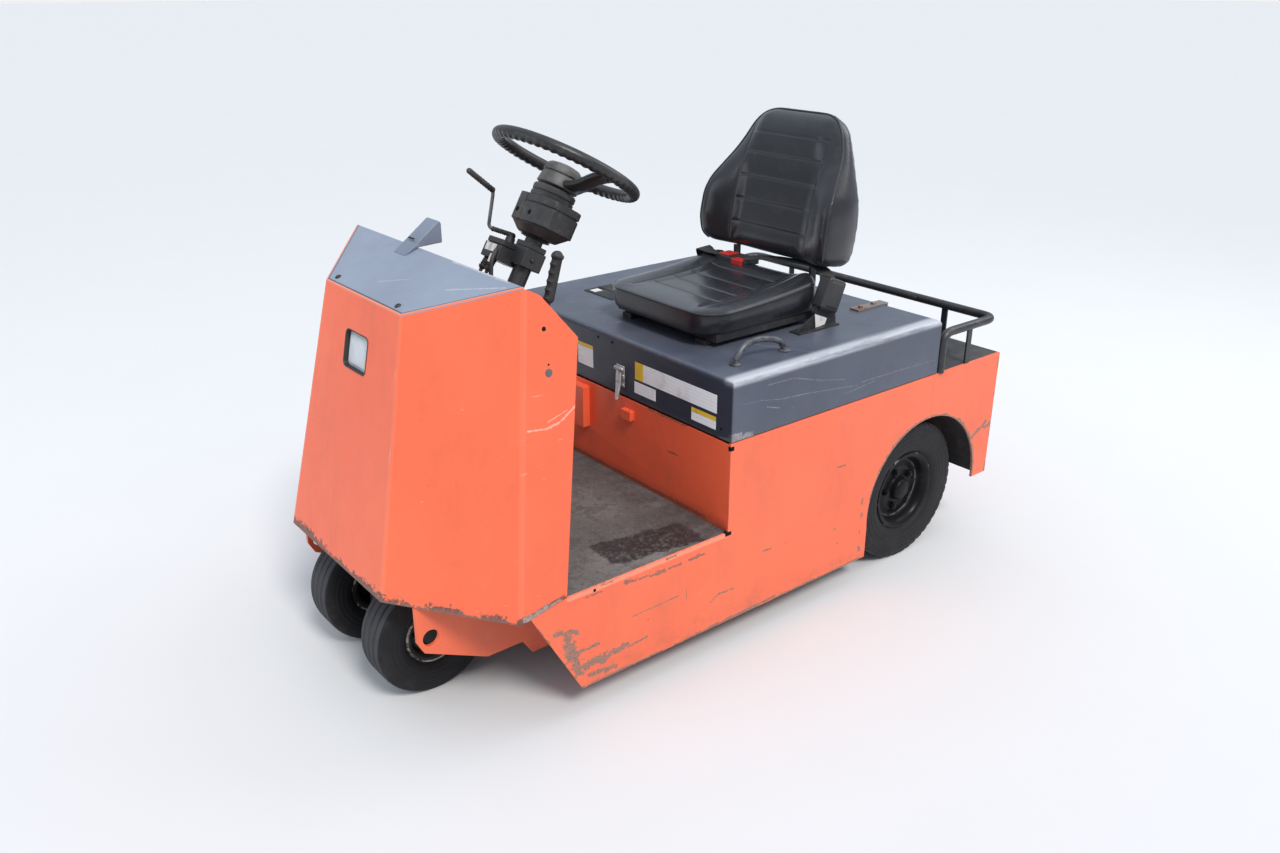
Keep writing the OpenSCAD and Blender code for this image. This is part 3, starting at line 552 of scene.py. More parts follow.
coupling_black = worn_black("worn_black_coupling", share=0.5, gloss=0.5, bare=0.9)
refit("tow_coupling", "coupling_jaw", 0.0025, coupling_black, "chassis", "black_paint")
bolts = [hexagon((y, z), 22, -366, -357.5) for y in (-56, 56) for z in (250, 350)]
piece("coupling_bolts", bolts, coupling_black, "chassis", "black_paint", edge=1.0)
f = Finish("rusty_bare_steel")
base = f.mix(f.patches(0.45, 0.62, 22.0, 5, 0.7), (0.36, 0.34, 0.32), (0.20, 0.10, 0.055))
rusty_steel = f.done(base, 0.5, f.bump(f.noise(160.0), 0.4, 0.0006),
                     Metallic=f.patches(0.62, 0.45, 22.0, 5, 0.7))
refit("tow_pin", "drop_pin", 0.0015, rusty_steel, "chassis", "bare_steel")

# Tail lamps: round red plastic lenses on black bases, one at each side of the rear panel. Each
# lens is a ribbed dome that turns over into its base.


def turned(profile, centre=(0, 0, 0), axis="y", steps=48):
    """A turned shape: a profile of pairs of radius and place along the axis, turned about it. A
    radius of 0 makes a pole."""
    turn = np.linspace(0, 2 * np.pi, steps, endpoint=False)
    profile = np.maximum(np.asarray(profile, dtype=float), [[1e-3, -1e9]])
    radius, along = profile[:, :1], profile[:, 1:] + 0 * turn
    round_one, round_two = radius * np.cos(turn), radius * np.sin(turn)
    order = {"x": (along, round_one, round_two), "y": (round_two, along, round_one),
             "z": (round_one, round_two, along)}[axis]
    return sheet_of(np.stack(order, -1) + np.asarray(centre))


base_profile = [(0, 0), (35.5, 0), (35.5, -9), (34, -11), (0, -11)]
dome_profile = [(0, -8), (31, -8), (31.5, -14), (30, -18), (24, -21.5), (12, -23.4), (0, -23.8)]
lamp_places = [(-346, side * 400, 500) for side in (-1, 1)]
f = Finish("black_moulding")
base = f.mix(f.noise(9.0, 5), (0.014, 0.014, 0.016), (0.040, 0.038, 0.037))
black_moulding = f.done(base, f.uneven(24.0, 0.25, 0.30), f.bump(f.noise(300.0, 3), 0.3, 0.0004))
piece("tail_lamp_bases", [turned(base_profile, place, "x", 56) for place in lamp_places], black_moulding,
      "chassis", "black_plastic")
f = Finish("red_lamp_lens")
base = f.mix(f.noise(20.0), (0.42, 0.012, 0.012), (0.30, 0.010, 0.010))
red_lens = f.done(base, 0.22, f.bump(f.bands(60.0, "Y"), 0.5), Coat_Weight=0.6)
piece("tail_lamp_lenses", [turned(dome_profile, place, "x", 56) for place in lamp_places], red_lens,
      "chassis", "red_lens", ("tail_lamps",))

# Cowl: one steel sheet folded along four leaning creases into a tapering nose, open below and behind. The
# folds are broad, with a painted highlight along each, and its lower edges are dented and scraped to bare
# metal.
nose_creases = [((1535, s * 239.5, 323), (1402, s * 182, 936)) for s in (-1, 1)]
side_creases = [((1334, s * 489.5, 306), (1222, s * 381.5, 1007)) for s in (-1, 1)]
dents = [((1535, 110, 325), (1535, 238, 327), 15), ((1530, 244, 323), (1496, 282, 320), 12),
         ((1462, 330, 318), (1425, 376, 315), 13), ((1385, 425, 312), (1358, 458, 310), 11),
         ((1535, -60, 325), (1535, -225, 328), 17), ((1535, 20, 324), (1535, 60, 324), 13)]
edges = [((1535, -239, 324), (1535, 239, 324), 9), ((1534, 241, 323), (1440, 358, 316), 5),
         ((1440, 358, 316), (1336, 488, 307), 4.5), ((1336, 488, 306), (1215, 489, 325), 4.0),
         ((1520, -250, 322), (1420, -385, 316), 5)]
corner_rust = [((1330, 488, 311), (1222, 488, 326), 12)]
corner_bare = [((1316, 487, 315), (1262, 487, 322), 9), ((1262, 487, 320), (1226, 487, 327), 6)]
smears = [((1256, 425, 715), (1212, 425.5, 709), 2.6), ((1212, 425.5, 709), (1178, 425, 714), 3.4),
          ((1178, 425, 714), (1154, 425, 727), 2.6), ((1154, 424, 727), (1128, 422, 743), 2.2),
          ((1206, 425, 722), (1150, 424, 738), 1.2)]
nicks = [((1425, 190, 820), (1428, 192, 806), 2.5), ((1463, 205, 655), (1468, 207, 628), 2),
         ((1500, 20, 470), (1492, -60, 505), 1), ((1448, 60, 712), (1447, 130, 716), 0.9),
         ((1190, 480, 420), (1180, 476, 470), 1.2)]


def in_metres(strokes):
    """Strokes given in millimetres, as places and half widths in metres."""
    return [(at(*a), at(*b), width / 1000) for a, b, width in strokes]


f, base, rough, relief = enamel("orange_cowl_enamel", (0.87, 0.155, 0.068), (0.81, 0.134, 0.058),
                                low_dirt=0.20, wave=1.0)
# Painted highlight: a faint lighter band along each of the four creases.
folds = in_metres([(a, b, 8) for a, b in nose_creases + side_creases])
base = f.stained(base, 0.09, f.marks(folds, ragged=0), (0.92, 0.40, 0.26))
base, rough = worn(f, base, rough, in_metres(dents), colour=(0.095, 0.070, 0.060), ragged=1.3, grain=90.0,
                   rusty=0.7)
base, rough = worn(f, base, rough, in_metres(edges), colour=(0.16, 0.115, 0.095), ragged=1.1, grain=90.0)
rust_strip = f.marks(in_metres(corner_rust), ragged=0.5, grain=60.0)
base = f.stained(base, 0.9, rust_strip, (0.115, 0.060, 0.045))
base, rough = worn(f, base, rough, in_metres(corner_bare), colour=(0.31, 0.27, 0.245), ragged=1.2,
                   grain=60.0, rusty=0.15)
base, rough = worn(f, base, rough, in_metres(smears), colour=(0.86, 0.44, 0.35), ragged=0.7, share=0.75,
                   grain=110.0, rusty=0)
base, rough = worn(f, base, rough, in_metres(nicks), colour=(0.62, 0.40, 0.32), ragged=0.8, share=0.7,
                   grain=80.0, rusty=0.1)
cowl_enamel = f.done(base, rough, relief, Specular_IOR_Level=0.38)
refit("front_cowl", "cowl_sheet", 0.008, cowl_enamel, "chassis", "orange_paint", 4, 12)
crease_foot = np.array(side_creases[1][0])
crease_run = np.array(side_creases[1][1]) - crease_foot
side_lean = math.atan2(crease_run[1], crease_run[2])


def side_disc(x, z, size, side):
    """A shallow dark disc set flush with the leaning side's face: painted shade that stands for a hole in
    the sheet.
    """
    plug = turned([(0, -2.0), (size - 0.4, -2.0), (size, 0.2), (size - 0.5, 0.5), (0, 0.5)], steps=28)
    lean = np.array([[1, 0, 0], [0, math.cos(side_lean), -math.sin(side_lean)],
                     [0, math.sin(side_lean), math.cos(side_lean)]])
    y = crease_foot[1] + crease_run[1] * (z - crease_foot[2]) / crease_run[2]
    return plug[0] @ lean * (1, side, 1) + (x, side * y, z), plug[1]


def block(low, high):
    """A box from its low corner to its high corner."""
    (a, b, c), (d, e, g) = low, high
    return sheet_of([[(a, b, c), (d, b, c), (d, e, c), (a, e, c)],
                     [(a, b, g), (d, b, g), (d, e, g), (a, e, g)]])


# Near black: painted shade for holes, slots, notches and recesses drawn as flush dark pieces, and the
# real colour of the hood's small dark rivets.
f = Finish("hole_shade_and_rivet_black")
hole_shade_and_rivet_black = f.done((0.010, 0.009, 0.009), 0.9, Specular_IOR_Level=0.1)
side_holes = ((1187, 916, 5.0), (1186, 841, 2.4))
# Painted shade: flush dark discs stand for the holes in the cowl's sides.
piece("cowl_side_holes", [side_disc(*hole, side) for side in (-1, 1) for hole in side_holes], hole_shade_and_rivet_black,
      "chassis", "orange_paint")
panel_face = 1000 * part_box("side_panel_left")[1].y + 0.3
# Painted shade: thin dark blocks on the panel's face stand for the notches at its corners and sill.
notches = [block((722, 480, 321), (742, panel_face, 331)),
           block((1135, 480, 317), (1142, panel_face, 324)),
           block((722, 482, 546), (733.5, panel_face, 557))]
piece("panel_notches", notches, hole_shade_and_rivet_black, "chassis", "orange_paint")
f = Finish("grey_plug")
grey_plug = f.done(f.mix(f.noise(90.0), (0.16, 0.155, 0.15), (0.06, 0.055, 0.05)), 0.6)
piece("cowl_side_plugs", [side_disc(1188, 824, 9, side) for side in (-1, 1)], grey_plug, "chassis",
      "orange_paint")

# Cowl top: a slate-grey steel plate screwed down over the folded sheet, paler where sun and
# hands have dulled it, with a dark joint along its front edge.
slate, slate_dark = (0.082, 0.096, 0.132), (0.052, 0.062, 0.090)
top_slope = 21.5
folded_edge = [((1402, -182, 936), (1402, 182, 936), 4.5), ((1402, 182, 936), (1222, 381, 1007), 3.2),
               ((1402, -182, 936), (1222, -381, 1007), 3.2)]
joint = [((1396, -180, 938.5), (1396, 180, 938.5), 1.7), ((1396, 180, 938.5), (1220, 375, 1008), 1.2),
         ((1396, -180, 938.5), (1220, -375, 1008), 1.2)]
top_scratches = [((1300, 200, 976), (1240, 340, 1000), 2), ((1350, -20, 956), (1310, 60, 972), 1.2),
                 ((1224, 100, 1006), (1224, 330, 1006), 3)]
f, base, rough, relief = enamel("slate_top_enamel", (0.255, 0.295, 0.37), (0.20, 0.235, 0.305))
base = f.mix(f.marks(in_metres(folded_edge), ragged=0.1), base, (0.80, 0.20, 0.10))
base = f.stained(base, 0.9, f.marks(in_metres(joint), ragged=0.25), (0.016, 0.016, 0.020))
base, rough = worn(f, base, rough, in_metres(top_scratches), colour=(0.50, 0.50, 0.52), share=0.7,
                   rusty=0.1)
refit("cowl_top", "cowl_top_plate", 0.0015, f.done(base, rough, relief), "chassis", "slate_paint")


def moved(part, origin, turn_y=0.0, turn_z=0.0):
    """A shape turned by degrees about Y, then about Z, then set down at an origin."""
    y, z = math.radians(turn_y), math.radians(turn_z)
    about_y = np.array([[math.cos(y), 0, math.sin(y)], [0, 1, 0], [-math.sin(y), 0, math.cos(y)]])
    about_z = np.array([[math.cos(z), -math.sin(z), 0], [math.sin(z), math.cos(z), 0], [0, 0, 1]])
    return part[0] @ (about_z @ about_y).T + np.asarray(origin, dtype=float), part[1]


screw = turned([(0, 0), (7.5, 0), (7.5, 1.2), (5.5, 3.2), (2.2, 3.6), (1.6, 2.2), (0, 2.2)], axis="z",
               steps=28)
screws = [moved(screw, place, top_slope) for place in ((1382, -158, 943.6), (1384, 141, 942.8))]
piece("cowl_top_screws", screws, coupling_black, "chassis", "slate_paint")

# Instrument pod: a small pressed wedge on the cowl's top with one round gauge facing the driver.
# Its dial is blank.
gauge_place = (1160, -87.5, 1033)
slot_place, slot_lean = (1236, -87.5, 1017.5), 34
f, base, rough, relief = enamel("slate_pod_enamel", (0.20, 0.235, 0.30), (0.14, 0.165, 0.22), gloss=0.38)
refit("instrument_pod", "pod_cover", 0.0025, f.done(base, rough, relief), "chassis", "slate_paint", 3)
gauge_ring = [(15, 0.5), (19.5, 0.5), (20, -1.2), (18.5, -3.2), (16.2, -3.4), (15, -1.4)]
piece("gauge_ring", [turned(gauge_ring, gauge_place, "x")], black_moulding, "chassis", "slate_paint")
f = Finish("blank_gauge_dial")
dial = f.done(f.mix(f.noise(30.0), (0.60, 0.60, 0.57), (0.48, 0.48, 0.46)), 0.12, Coat_Weight=0.8)
gauge_face = turned([(0, 0.6), (15.5, 0.6), (15.5, -1.0), (0, -1.6)], gauge_place, "x")
piece("gauge_dial", [gauge_face], dial, "chassis", "slate_paint")
# Painted shade: a thin dark strip stands for the slot in the pod.
slot = moved(block((-15, -14, -0.4), (-11.5, 14, 0.5)), slot_place, slot_lean)
piece("pod_slot", [slot], hole_shade_and_rivet_black, "chassis", "slate_paint")

# Headlamp: a pressed black housing behind a square opening, with a thick rubber rim, a silvered reflector
# and a clear lens moulded with upright ribs. The lens is given a pale colour and is only partly clear, a
# painted reflection of the reflector behind it.
lamp_place, lamp_lean = (1428.7, 0, 813), -12.24
opening_wide, opening_high, opening_corner = 112, 88, 14
lens_wide, lens_high, lens_corner, lens_thick, lens_back = 52.0, 40.0, 12, 4.4, -15.4
lens_rise, rib_height, rib_pitch, ribbed_high = 5.0, 1.7, 8.4, 33


def rounded_ring(width, height, radius, depth):
    """A rounded rectangle's outline across the front, at a depth along X."""
    turn = np.linspace(0, np.pi / 2, 10)
    corner = np.stack([np.cos(turn), np.sin(turn)], -1) * radius
    ring = []
    for quarter, (sy, sz) in enumerate(((1, 1), (-1, 1), (-1, -1), (1, -1))):
        c, s = math.cos(quarter * math.pi / 2), math.sin(quarter * math.pi / 2)
        spun = corner @ np.array([[c, s], [-s, c]])
        ring.append(spun + (sy * (width / 2 - radius), sz * (height / 2 - radius)))
    return np.insert(np.concatenate(ring), 0, depth, axis=1)


def lamp_shell(stages, loop=False):
    """A shell of the lamp from stages of inset from the opening's edge and depth, in its place."""
    rings = [rounded_ring(opening_wide - 2 * inset, opening_high - 2 * inset,
                          max(opening_corner - inset, 3), depth) for inset, depth in stages]
    return moved(sheet_of(rings, loop=loop), lamp_place, lamp_lean)


rim = lamp_shell([(-9, -5.6), (0.4, -5.6), (0.5, -0.6), (1.0, 0.5), (1.9, 0.5), (2.6, -0.6), (3.0, -4),
                  (3.6, -24), (9.5, -31), (-9, -31)], loop=True)
f = Finish("lamp_rubber")
base = f.mix(f.noise(15.0), (0.020, 0.020, 0.021), (0.042, 0.040, 0.038))
lamp_rubber = f.done(base, 0.55, f.bump(f.noise(200.0), 0.3, 0.0004))
piece("lamp_rim", [rim], lamp_rubber, "chassis", "black_plastic", ("headlamp",))
housing = lamp_shell([(-9, -31.2), (-9, -40), (0, -62), (20, -69), (38, -70)])
piece("lamp_housing", [housing], black_moulding, "chassis", "black_plastic")
bowl = lamp_shell([(8.7, -26.6), (8.4, -27), (8.6, -28.5), (13, -40), (22, -49), (32, -54), (38, -55),
                   (38, -57)])
f = Finish("lamp_silvering")
base = f.mix(f.noise(12.0), (0.90, 0.91, 0.92), (0.72, 0.72, 0.71))
silvering = f.done(base, 0.25, Metallic=1.0)
piece("lamp_reflector", [bowl], silvering, "chassis", "lens")


def row_of(x, y, z):
    """Places from their coordinates, each one number or an array of numbers."""
    return np.stack(np.broadcast_arrays(x, y, z), -1)


def lens_row(v):
    """The lens's section at a height: round the edge of its bulging ribbed front and its back. The
    bulge is (1 - |v / high|^3)(1 - |u / wide|^4) and the ribs are |cos(pi u / pitch)|."""
    past = max(abs(v) - (lens_high - lens_corner), 0)
    reach = lens_wide - (lens_corner - math.sqrt(max(lens_corner ** 2 - past ** 2, 0)))
    u = np.linspace(-reach, reach, 171)
    rise = lens_rise * (1 - (abs(v) / (lens_high + 0.1)) ** 3) * (1 - np.abs(u / (lens_wide + 0.1)) ** 4)
    ribs = rib_height * np.abs(np.cos(u * np.pi / rib_pitch)) * np.clip((reach - 3 - np.abs(u)) / 2, 0, 1)
    front = row_of(lens_back + lens_thick + rise + ribs * (abs(v) < ribbed_high), u, v)
    return np.concatenate([front, row_of(lens_back + rise, u[::-1], v)])


lens = sheet_of([lens_row(v) for v in np.linspace(-lens_high, lens_high, 41)])
# Painted reflection: the glass's pale colour stands for the silvered reflector seen through it.
f = Finish("ribbed_lamp_glass")
base = f.mix(f.noise(22.0, 5), (0.88, 0.91, 0.94), (0.62, 0.65, 0.68))
glass = f.done(base, 0.10, Transmission_Weight=0.4, IOR=1.49)
piece("lamp_lens", [moved(lens, lamp_place, lamp_lean)], glass, "chassis", "lens", ("headlamp_lens",))

# Steering gear: a cast box bolted to the swivel plate, a steel column tube that leans back to the
# driver, and a ribbed rubber boot under the switch cover.
refit("steering_gearbox", "gearbox_casting", 0.004, dull_grey, "chassis", "grey_paint")
front_axle_x, bolt_circle = 1385, 66
gear_bolts = [hexagon((front_axle_x + bolt_circle * math.cos(a), bolt_circle * math.sin(a)), 17, 384.5,
                      393, "z") for a in np.radians([-60, 0, 60])]
piece("gearbox_bolts", gear_bolts, dull_grey, "chassis", "grey_paint", edge=0.8)
column_place, column_lean = (843, 0, 1164), -30.5


def on_column(*parts):
    """Shapes drawn about the steering axis, Z up it from the wheel's middle, set in their places."""
    return [moved(part, column_place, column_lean) for part in parts]


f, base, rough, relief = enamel("black_column_enamel", (0.030, 0.030, 0.033), (0.018, 0.018, 0.020),
                                dirt=(0.15, 0.12, 0.10), gloss=0.42)
column_black = f.done(base, rough, relief)
refit("steering_column", "column_tube", 0.001, column_black, "chassis", "black_paint")

# Column cover: two black plastic shells that meet at a seam, chamfered all round, with the
# wheel's turning housing above in two layers.
right_shell = [(-54, -64), (-37, -73), (35, -73), (55, -51), (55, -21.8), (-54, -21.8)]
left_shell = [(-54, -20.2), (55, -20.2), (55, 41), (31, 73), (-37, 73), (-54, 64)]
ledge = [(-51, -61), (-35, -70), (33, -70), (52, -49), (52, 39), (29, 70), (-35, 70), (-51, 61)]
foot = [np.insert(np.array(ledge) * share, 2, z, axis=1) for share, z in ((0.66, -189.0), (1.0, -166.4))]
shells = [slab(right_shell, -167, -97, "z"), slab(left_shell, -167, -118.5, "z"),
          slab(left_shell, -117.1, -97, "z"), slab(ledge, -164, -98.6, "z"), sheet_of(foot)]
f = Finish("dusty_black_cover")
base = f.mix(f.patches(0.35, 0.7, 6.0, 6, 0.65), (0.020, 0.020, 0.021), (0.060, 0.056, 0.053))
base = f.stained(base, 0.55, f.patches(0.5, 0.68, 28.0, 7, 0.75, None, 3.0), (0.125, 0.115, 0.105))
cover_black = f.done(base, f.uneven(17.0, 0.3, 0.30, 5), f.bump(f.noise(260.0, 3), 0.35, 0.0005))
piece("column_cover_shells", on_column(*shells), cover_black, "chassis", "black_plastic",
      ("column_cover",), edge=4.0, segments=3)
housing_profile = [(12, -99), (50, -99), (54, -97), (54, -86.5), (52.6, -85), (50.4, -85), (50.4, -82),
                   (52.6, -82), (54, -80.5), (54, -70), (50.5, -66.2), (12, -66.2)]
fold = [(31, -195), (36.5, -194), (37.5, -193.2), (36.5, -192.2)]
folds = [(radius, z + 4 * k) for k in range(5) for radius, z in fold]
boot_profile = [(24, -196)] + folds + [(33, -174.5), (24, -174.5)]
f = Finish("black_boot_rubber")
base = f.mix(f.patches(0.4, 0.7, 18.0, 5), (0.014, 0.014, 0.014), (0.045, 0.042, 0.039))
boot_rubber = f.done(base, 0.58, f.bump(f.noise(250.0, 3), 0.3, 0.0004))
piece("wheel_housing", on_column(turned(housing_profile, axis="z", steps=72)), cover_black, "chassis",
      "black_plastic")
piece("column_boot", on_column(turned(boot_profile, axis="z", steps=56)), boot_rubber, "chassis",
      "black_plastic")
# Painted shade: shallow dark discs stand for the cover's screw recesses.
recess = [(0, 1.0), (5.2, 1.0), (6.2, 0.4), (6.2, -0.8), (0, -0.8)]
recesses = [turned(recess, (54.8, y, -143), "x", 24) for y in (14, -38)]
piece("cover_screw_recesses", on_column(*recesses), hole_shade_and_rivet_black, "chassis", "black_plastic")

# Direction lever: a switch box clamped round the column, with a bent steel rod out to a black
# rubber grip, two rubber-booted cables below it and a blank paper label.


def rounded_path(points, bend, steps=8):
    """A path through points whose corners are eased by quadratic curves a bend long."""
    points = [np.asarray(p, dtype=float) for p in points]
    path = [points[0]]
    for before, corner, after in zip(points, points[1:], points[2:]):
        start = corner + (before - corner) * min(0.5, bend / np.linalg.norm(before - corner))
        stop = corner + (after - corner) * min(0.5, bend / np.linalg.norm(after - corner))
        for t in np.linspace(0, 1, steps):
            path.append((1 - t) ** 2 * start + 2 * t * (1 - t) * corner + t * t * stop)
    return np.array(path + [points[-1]])


def between(start, end, count):
    """Evenly spaced places from start to end."""
    return np.linspace(np.asarray(start, dtype=float), np.asarray(end, dtype=float), count)


def sweep(path, radius, sides=16, squash=(1.0, 1.0), power=2.0, up=(0, 0, 1), dome=True):
    """A rod along a path: its section is a rounded rectangle |a|^power + |b|^power = 1 that is
    squash wide and high, and its ends are domed. radius may change along the path."""
    path = np.asarray(path, dtype=float)
    radius = np.broadcast_to(np.asarray(radius, dtype=float), (len(path),)).copy()
    tangent = np.gradient(path, axis=0)
    tangent /= np.linalg.norm(tangent, axis=1, keepdims=True)
    if dome:
        tilt = np.array([0.05, 0.45, 0.8, 0.97])
        reach = np.sqrt(1 - tilt ** 2)
        first = path[0] - tangent[0] * (reach * radius[0])[:, None]
        last = path[-1] + tangent[-1] * (reach[::-1] * radius[-1])[:, None]
        path = np.concatenate([first, path, last])
        tangent = np.concatenate([np.repeat(tangent[:1], 4, 0), tangent, np.repeat(tangent[-1:], 4, 0)])
        radius = np.concatenate([tilt * radius[0], radius, tilt[::-1] * radius[-1]])
    across = np.cross(tangent, np.asarray(up, dtype=float))
    across /= np.linalg.norm(across, axis=1, keepdims=True)
    upward = np.cross(across, tangent)
    turn = np.linspace(0, 2 * np.pi, sides, endpoint=False)
    a, b = np.cos(turn), np.sin(turn)
    grow = (np.abs(a) ** power + np.abs(b) ** power) ** (-1 / power)
    a, b = a * grow * squash[0], b * grow * squash[1]
    ring = across[:, None] * a[None, :, None] + upward[:, None] * b[None, :, None]
    return sheet_of(path[:, None] + ring * radius[:, None, None])


def ribbed(radius, rise, ribs, count):
    """Radii along a rod that go up and down by a rise, for a number of ribs."""
    return radius + rise * np.cos(np.linspace(0, 2 * np.pi * ribs, count))


box_parts = [block((-6, -85, -278), (72, -12, -241)), block((-4, -83, -240), (70, -14, -226)),
             block((-28, -30, -268), (32, 34, -222)), block((-25, -26, -222), (29, 30, -208)),
             turned([(0, 32), (6.5, 32), (6.5, 37), (3.5, 38.5), (0, 38.5)], (6, 0, -246), "y", 24)]
piece("switch_box", on_column(*box_parts), black_moulding, "chassis", "black_plastic",
      ("direction_lever",), edge=3.0, segments=3)
stem = turned([(0, -228), (12, -228), (12, -213), (9.5, -208), (9.5, -202), (6, -198), (0, -197)],
              (15, -74, 0), "z", 32)
lever_points = [(15, -74, -203), (57, -120, -208), (84, -120, -123), (96, -121, -121)]
lever_rod = sweep(rounded_path(lever_points, 12), 4.5, 16)
f = Finish("dull_lever_steel")
base = f.mix(f.patches(0.45, 0.65, 30.0, 5, 0.7), (0.16, 0.155, 0.15), (0.07, 0.06, 0.055))
lever_steel = f.done(base, 0.45, Metallic=0.5)
piece("lever_rod", on_column(lever_rod), lever_steel, "chassis", "black_plastic")
grip_path = between((88, -120.5, -122), (164, -125, -108), 40)
grip_size = np.where(np.linspace(0, 1, 40) < 0.62, ribbed(7.2, 0.5, 9, 40), 7.2)
sleeve = sweep(between((21, -79, -203.7), (48, -111, -207), 44), ribbed(6.0, 0.8, 8, 44), 20)
piece("lever_grip", on_column(stem, sleeve, sweep(grip_path, grip_size, 24)), boot_rubber, "chassis",
      "black_plastic")
cables = []
for y, middle_y, low_y in ((-66, -34, -22), (-40, -28, -17)):
    run = [(64, y, -298), (66, y, -330), (40, middle_y, -420), (30, low_y, -560)]
    cables.append(sweep(between((58, y, -270), (64, y, -302), 20), ribbed(8.5, 1.2, 6, 20), 20))
    cables.append(sweep(rounded_path(run, 30), 4.6, 12))
key_run = [(74, -24, -258), (82, -14, -285), (52, -12, -350), (30, -12, -560)]
cables.append(sweep(rounded_path(key_run, 24), 5.5, 12))
piece("switch_cables", on_column(*cables), boot_rubber, "chassis", "black_plastic")
f = Finish("blank_paper_label")
paper = f.done(f.mix(f.patches(0.45, 0.7, 40.0, 5, 0.7), (0.72, 0.71, 0.67), (0.45, 0.42, 0.37)), 0.6)
piece("switch_label", on_column(block((71.8, -76, -262), (72.5, -32, -243))), paper, "chassis",
      "black_plastic")
piece("switch_connector", on_column(block((71.5, -30, -290), (82, -18, -268))), paper, "chassis",
      "black_plastic", edge=1.2)

# Brake lever and pedals: a flat steel lever with a moulded notched grip, and two pendant pedals
# with ribbed rubber pads, all on brackets welded to the toe board.
lever_bar = sweep(between((1240, 150, 379), (1007, 150, 898), 24), 9, 20, squash=(0.55, 1.0), power=4.0,
                  up=(1, 0, 0.4))
toe_place, toe_tilt = (1225, 0, 329), 26.5


def on_toe_board(*parts):
    """Shapes drawn from the toe board's face, X square to it, set in their places."""
    return [moved(part, toe_place, toe_tilt) for part in parts]


bracket = on_toe_board(block((-16, 136, 34), (0, 164, 78)))
piece("brake_lever_bar", [lever_bar] + bracket, column_black, "chassis", "black_paint", ("brake_lever",),
      edge=0.8)
grip_run = between((1007, 150, 894), (979, 150, 990), 61)
grip_verts, grip_faces = sweep(grip_run, 12.4, 28, squash=(0.92, 1.0), power=2.3)
grip_length = np.linalg.norm(grip_run[-1] - grip_run[0])
grip_axis = (grip_run[-1] - grip_run[0]) / grip_length
up_grip = (grip_verts - grip_run[0]) @ grip_axis
forward = np.cross(grip_axis, (0.0, 1.0, 0.0))
forward *= np.sign(forward[0])
ahead = np.clip((grip_verts - grip_run[0] - np.outer(up_grip, grip_axis)) @ forward / 8, 0, 1)
notches = 3.2 * np.abs(np.sin(np.clip(up_grip / grip_length, 0, 1) * 5 * np.pi)) ** 0.7
grip_verts = grip_verts + np.outer((2.6 - notches) * ahead, forward)
lip_run = grip_run[-1] + np.outer(np.linspace(-7, 4, 6), grip_axis)
lip = sweep(lip_run, [13.0, 14.6, 15.2, 15.4, 15.0, 13.0], 28, dome=False)
piece("brake_grip", [(grip_verts, grip_faces), lip], boot_rubber, "chassis", "black_paint")
pads, arms = [], []
for y in (-230, -110):
    arms += [block((-16, y - 14, 90), (0, y + 14, 134)), block((-60, y - 6, 100), (-10, y + 6, 114)),
             block((-62, y - 38, 62), (-58, y + 38, 148))]
    pads.append(block((-66, y - 40, 60), (-61.5, y + 40, 150)))
    pads += [block((-68, y - 36, z), (-65, y + 36, z + 6)) for z in range(66, 150, 12)]
piece("pedal_arms", on_toe_board(*arms), column_black, "chassis", "black_paint", ("pedals",), edge=1.5)
piece("pedal_pads", on_toe_board(*pads), boot_rubber, "chassis", "black_paint", edge=0.8)

# Steering wheel: a hard black rubber rim moulded on steel, with finger notches under it, two
# dished spokes and a domed hub with a grey cap.
rim_ring, rim_thick, notch_deep, notch_count = 177, 15.2, 2.2, 56
around = np.linspace(0, 2 * np.pi, 480, endpoint=False)[:, None]
about = np.linspace(0, 2 * np.pi, 28, endpoint=False)[None, :]
under = np.clip(-np.sin(about), 0, 1) ** 0.6
rim_size = rim_thick - notch_deep * under * (0.5 + 0.5 * np.cos(around * notch_count)) ** 1.3
rim_radius = rim_ring + rim_size * np.cos(about)
rim_grid = row_of(rim_radius * np.cos(around), rim_radius * np.sin(around), rim_size * np.sin(about))
spoke_path = [(20, 0, -50), (42, 0, -49), (62, 0, -46.5), (82, 0, -41.5), (100, 0, -33.5),
              (118, 0, -23.5), (136, 0, -15.5), (154, 0, -9), (168, 0, -5)]
spoke_high = [10.5, 10.2, 10, 9.8, 9.6, 9.6, 9.8, 10.4, 11]
spoke = sweep(spoke_path, spoke_high, 28, squash=(2.1, 1.0), power=3.2, dome=False)
spokes = [moved(spoke, (0, 0, 0), turn_z=turn) for turn in (90, 210)]
hub_profile = [(0, -60), (49, -61), (52, -59), (51.6, -56), (47.4, -33), (46.4, -31.4), (44.2, -30.6),
               (44.2, -28.8), (0, -28.8)]
f = Finish("moulded_wheel_rubber")
base = f.mix(f.patches(0.4, 0.7, 9.0, 4), (0.014, 0.014, 0.015), (0.036, 0.034, 0.033))
wheel_rubber = f.done(base, f.uneven(30.0, 0.2, 0.26), f.bump(f.noise(320.0, 3), 0.25, 0.0004))
shaft = turned([(0, -95), (11, -95), (11, -60), (0, -60)], axis="z", steps=32)
piece("steering_wheel_moulding", on_column(sheet_of(rim_grid, loop=True), shaft, *spokes), wheel_rubber,
      "steering_wheel", "black_rubber", ("steering_wheel",), angle=50)
f = Finish("dusty_hub")
base = f.mix(f.patches(0.35, 0.7, 11.0, 6, 0.65), (0.060, 0.058, 0.056), (0.135, 0.128, 0.120))
base = f.stained(base, 0.4, f.patches(0.55, 0.68, 60.0, 5, 0.7), (0.20, 0.185, 0.17))
hub_grey = f.done(base, 0.52, f.bump(f.noise(240.0, 3), 0.3, 0.0004))
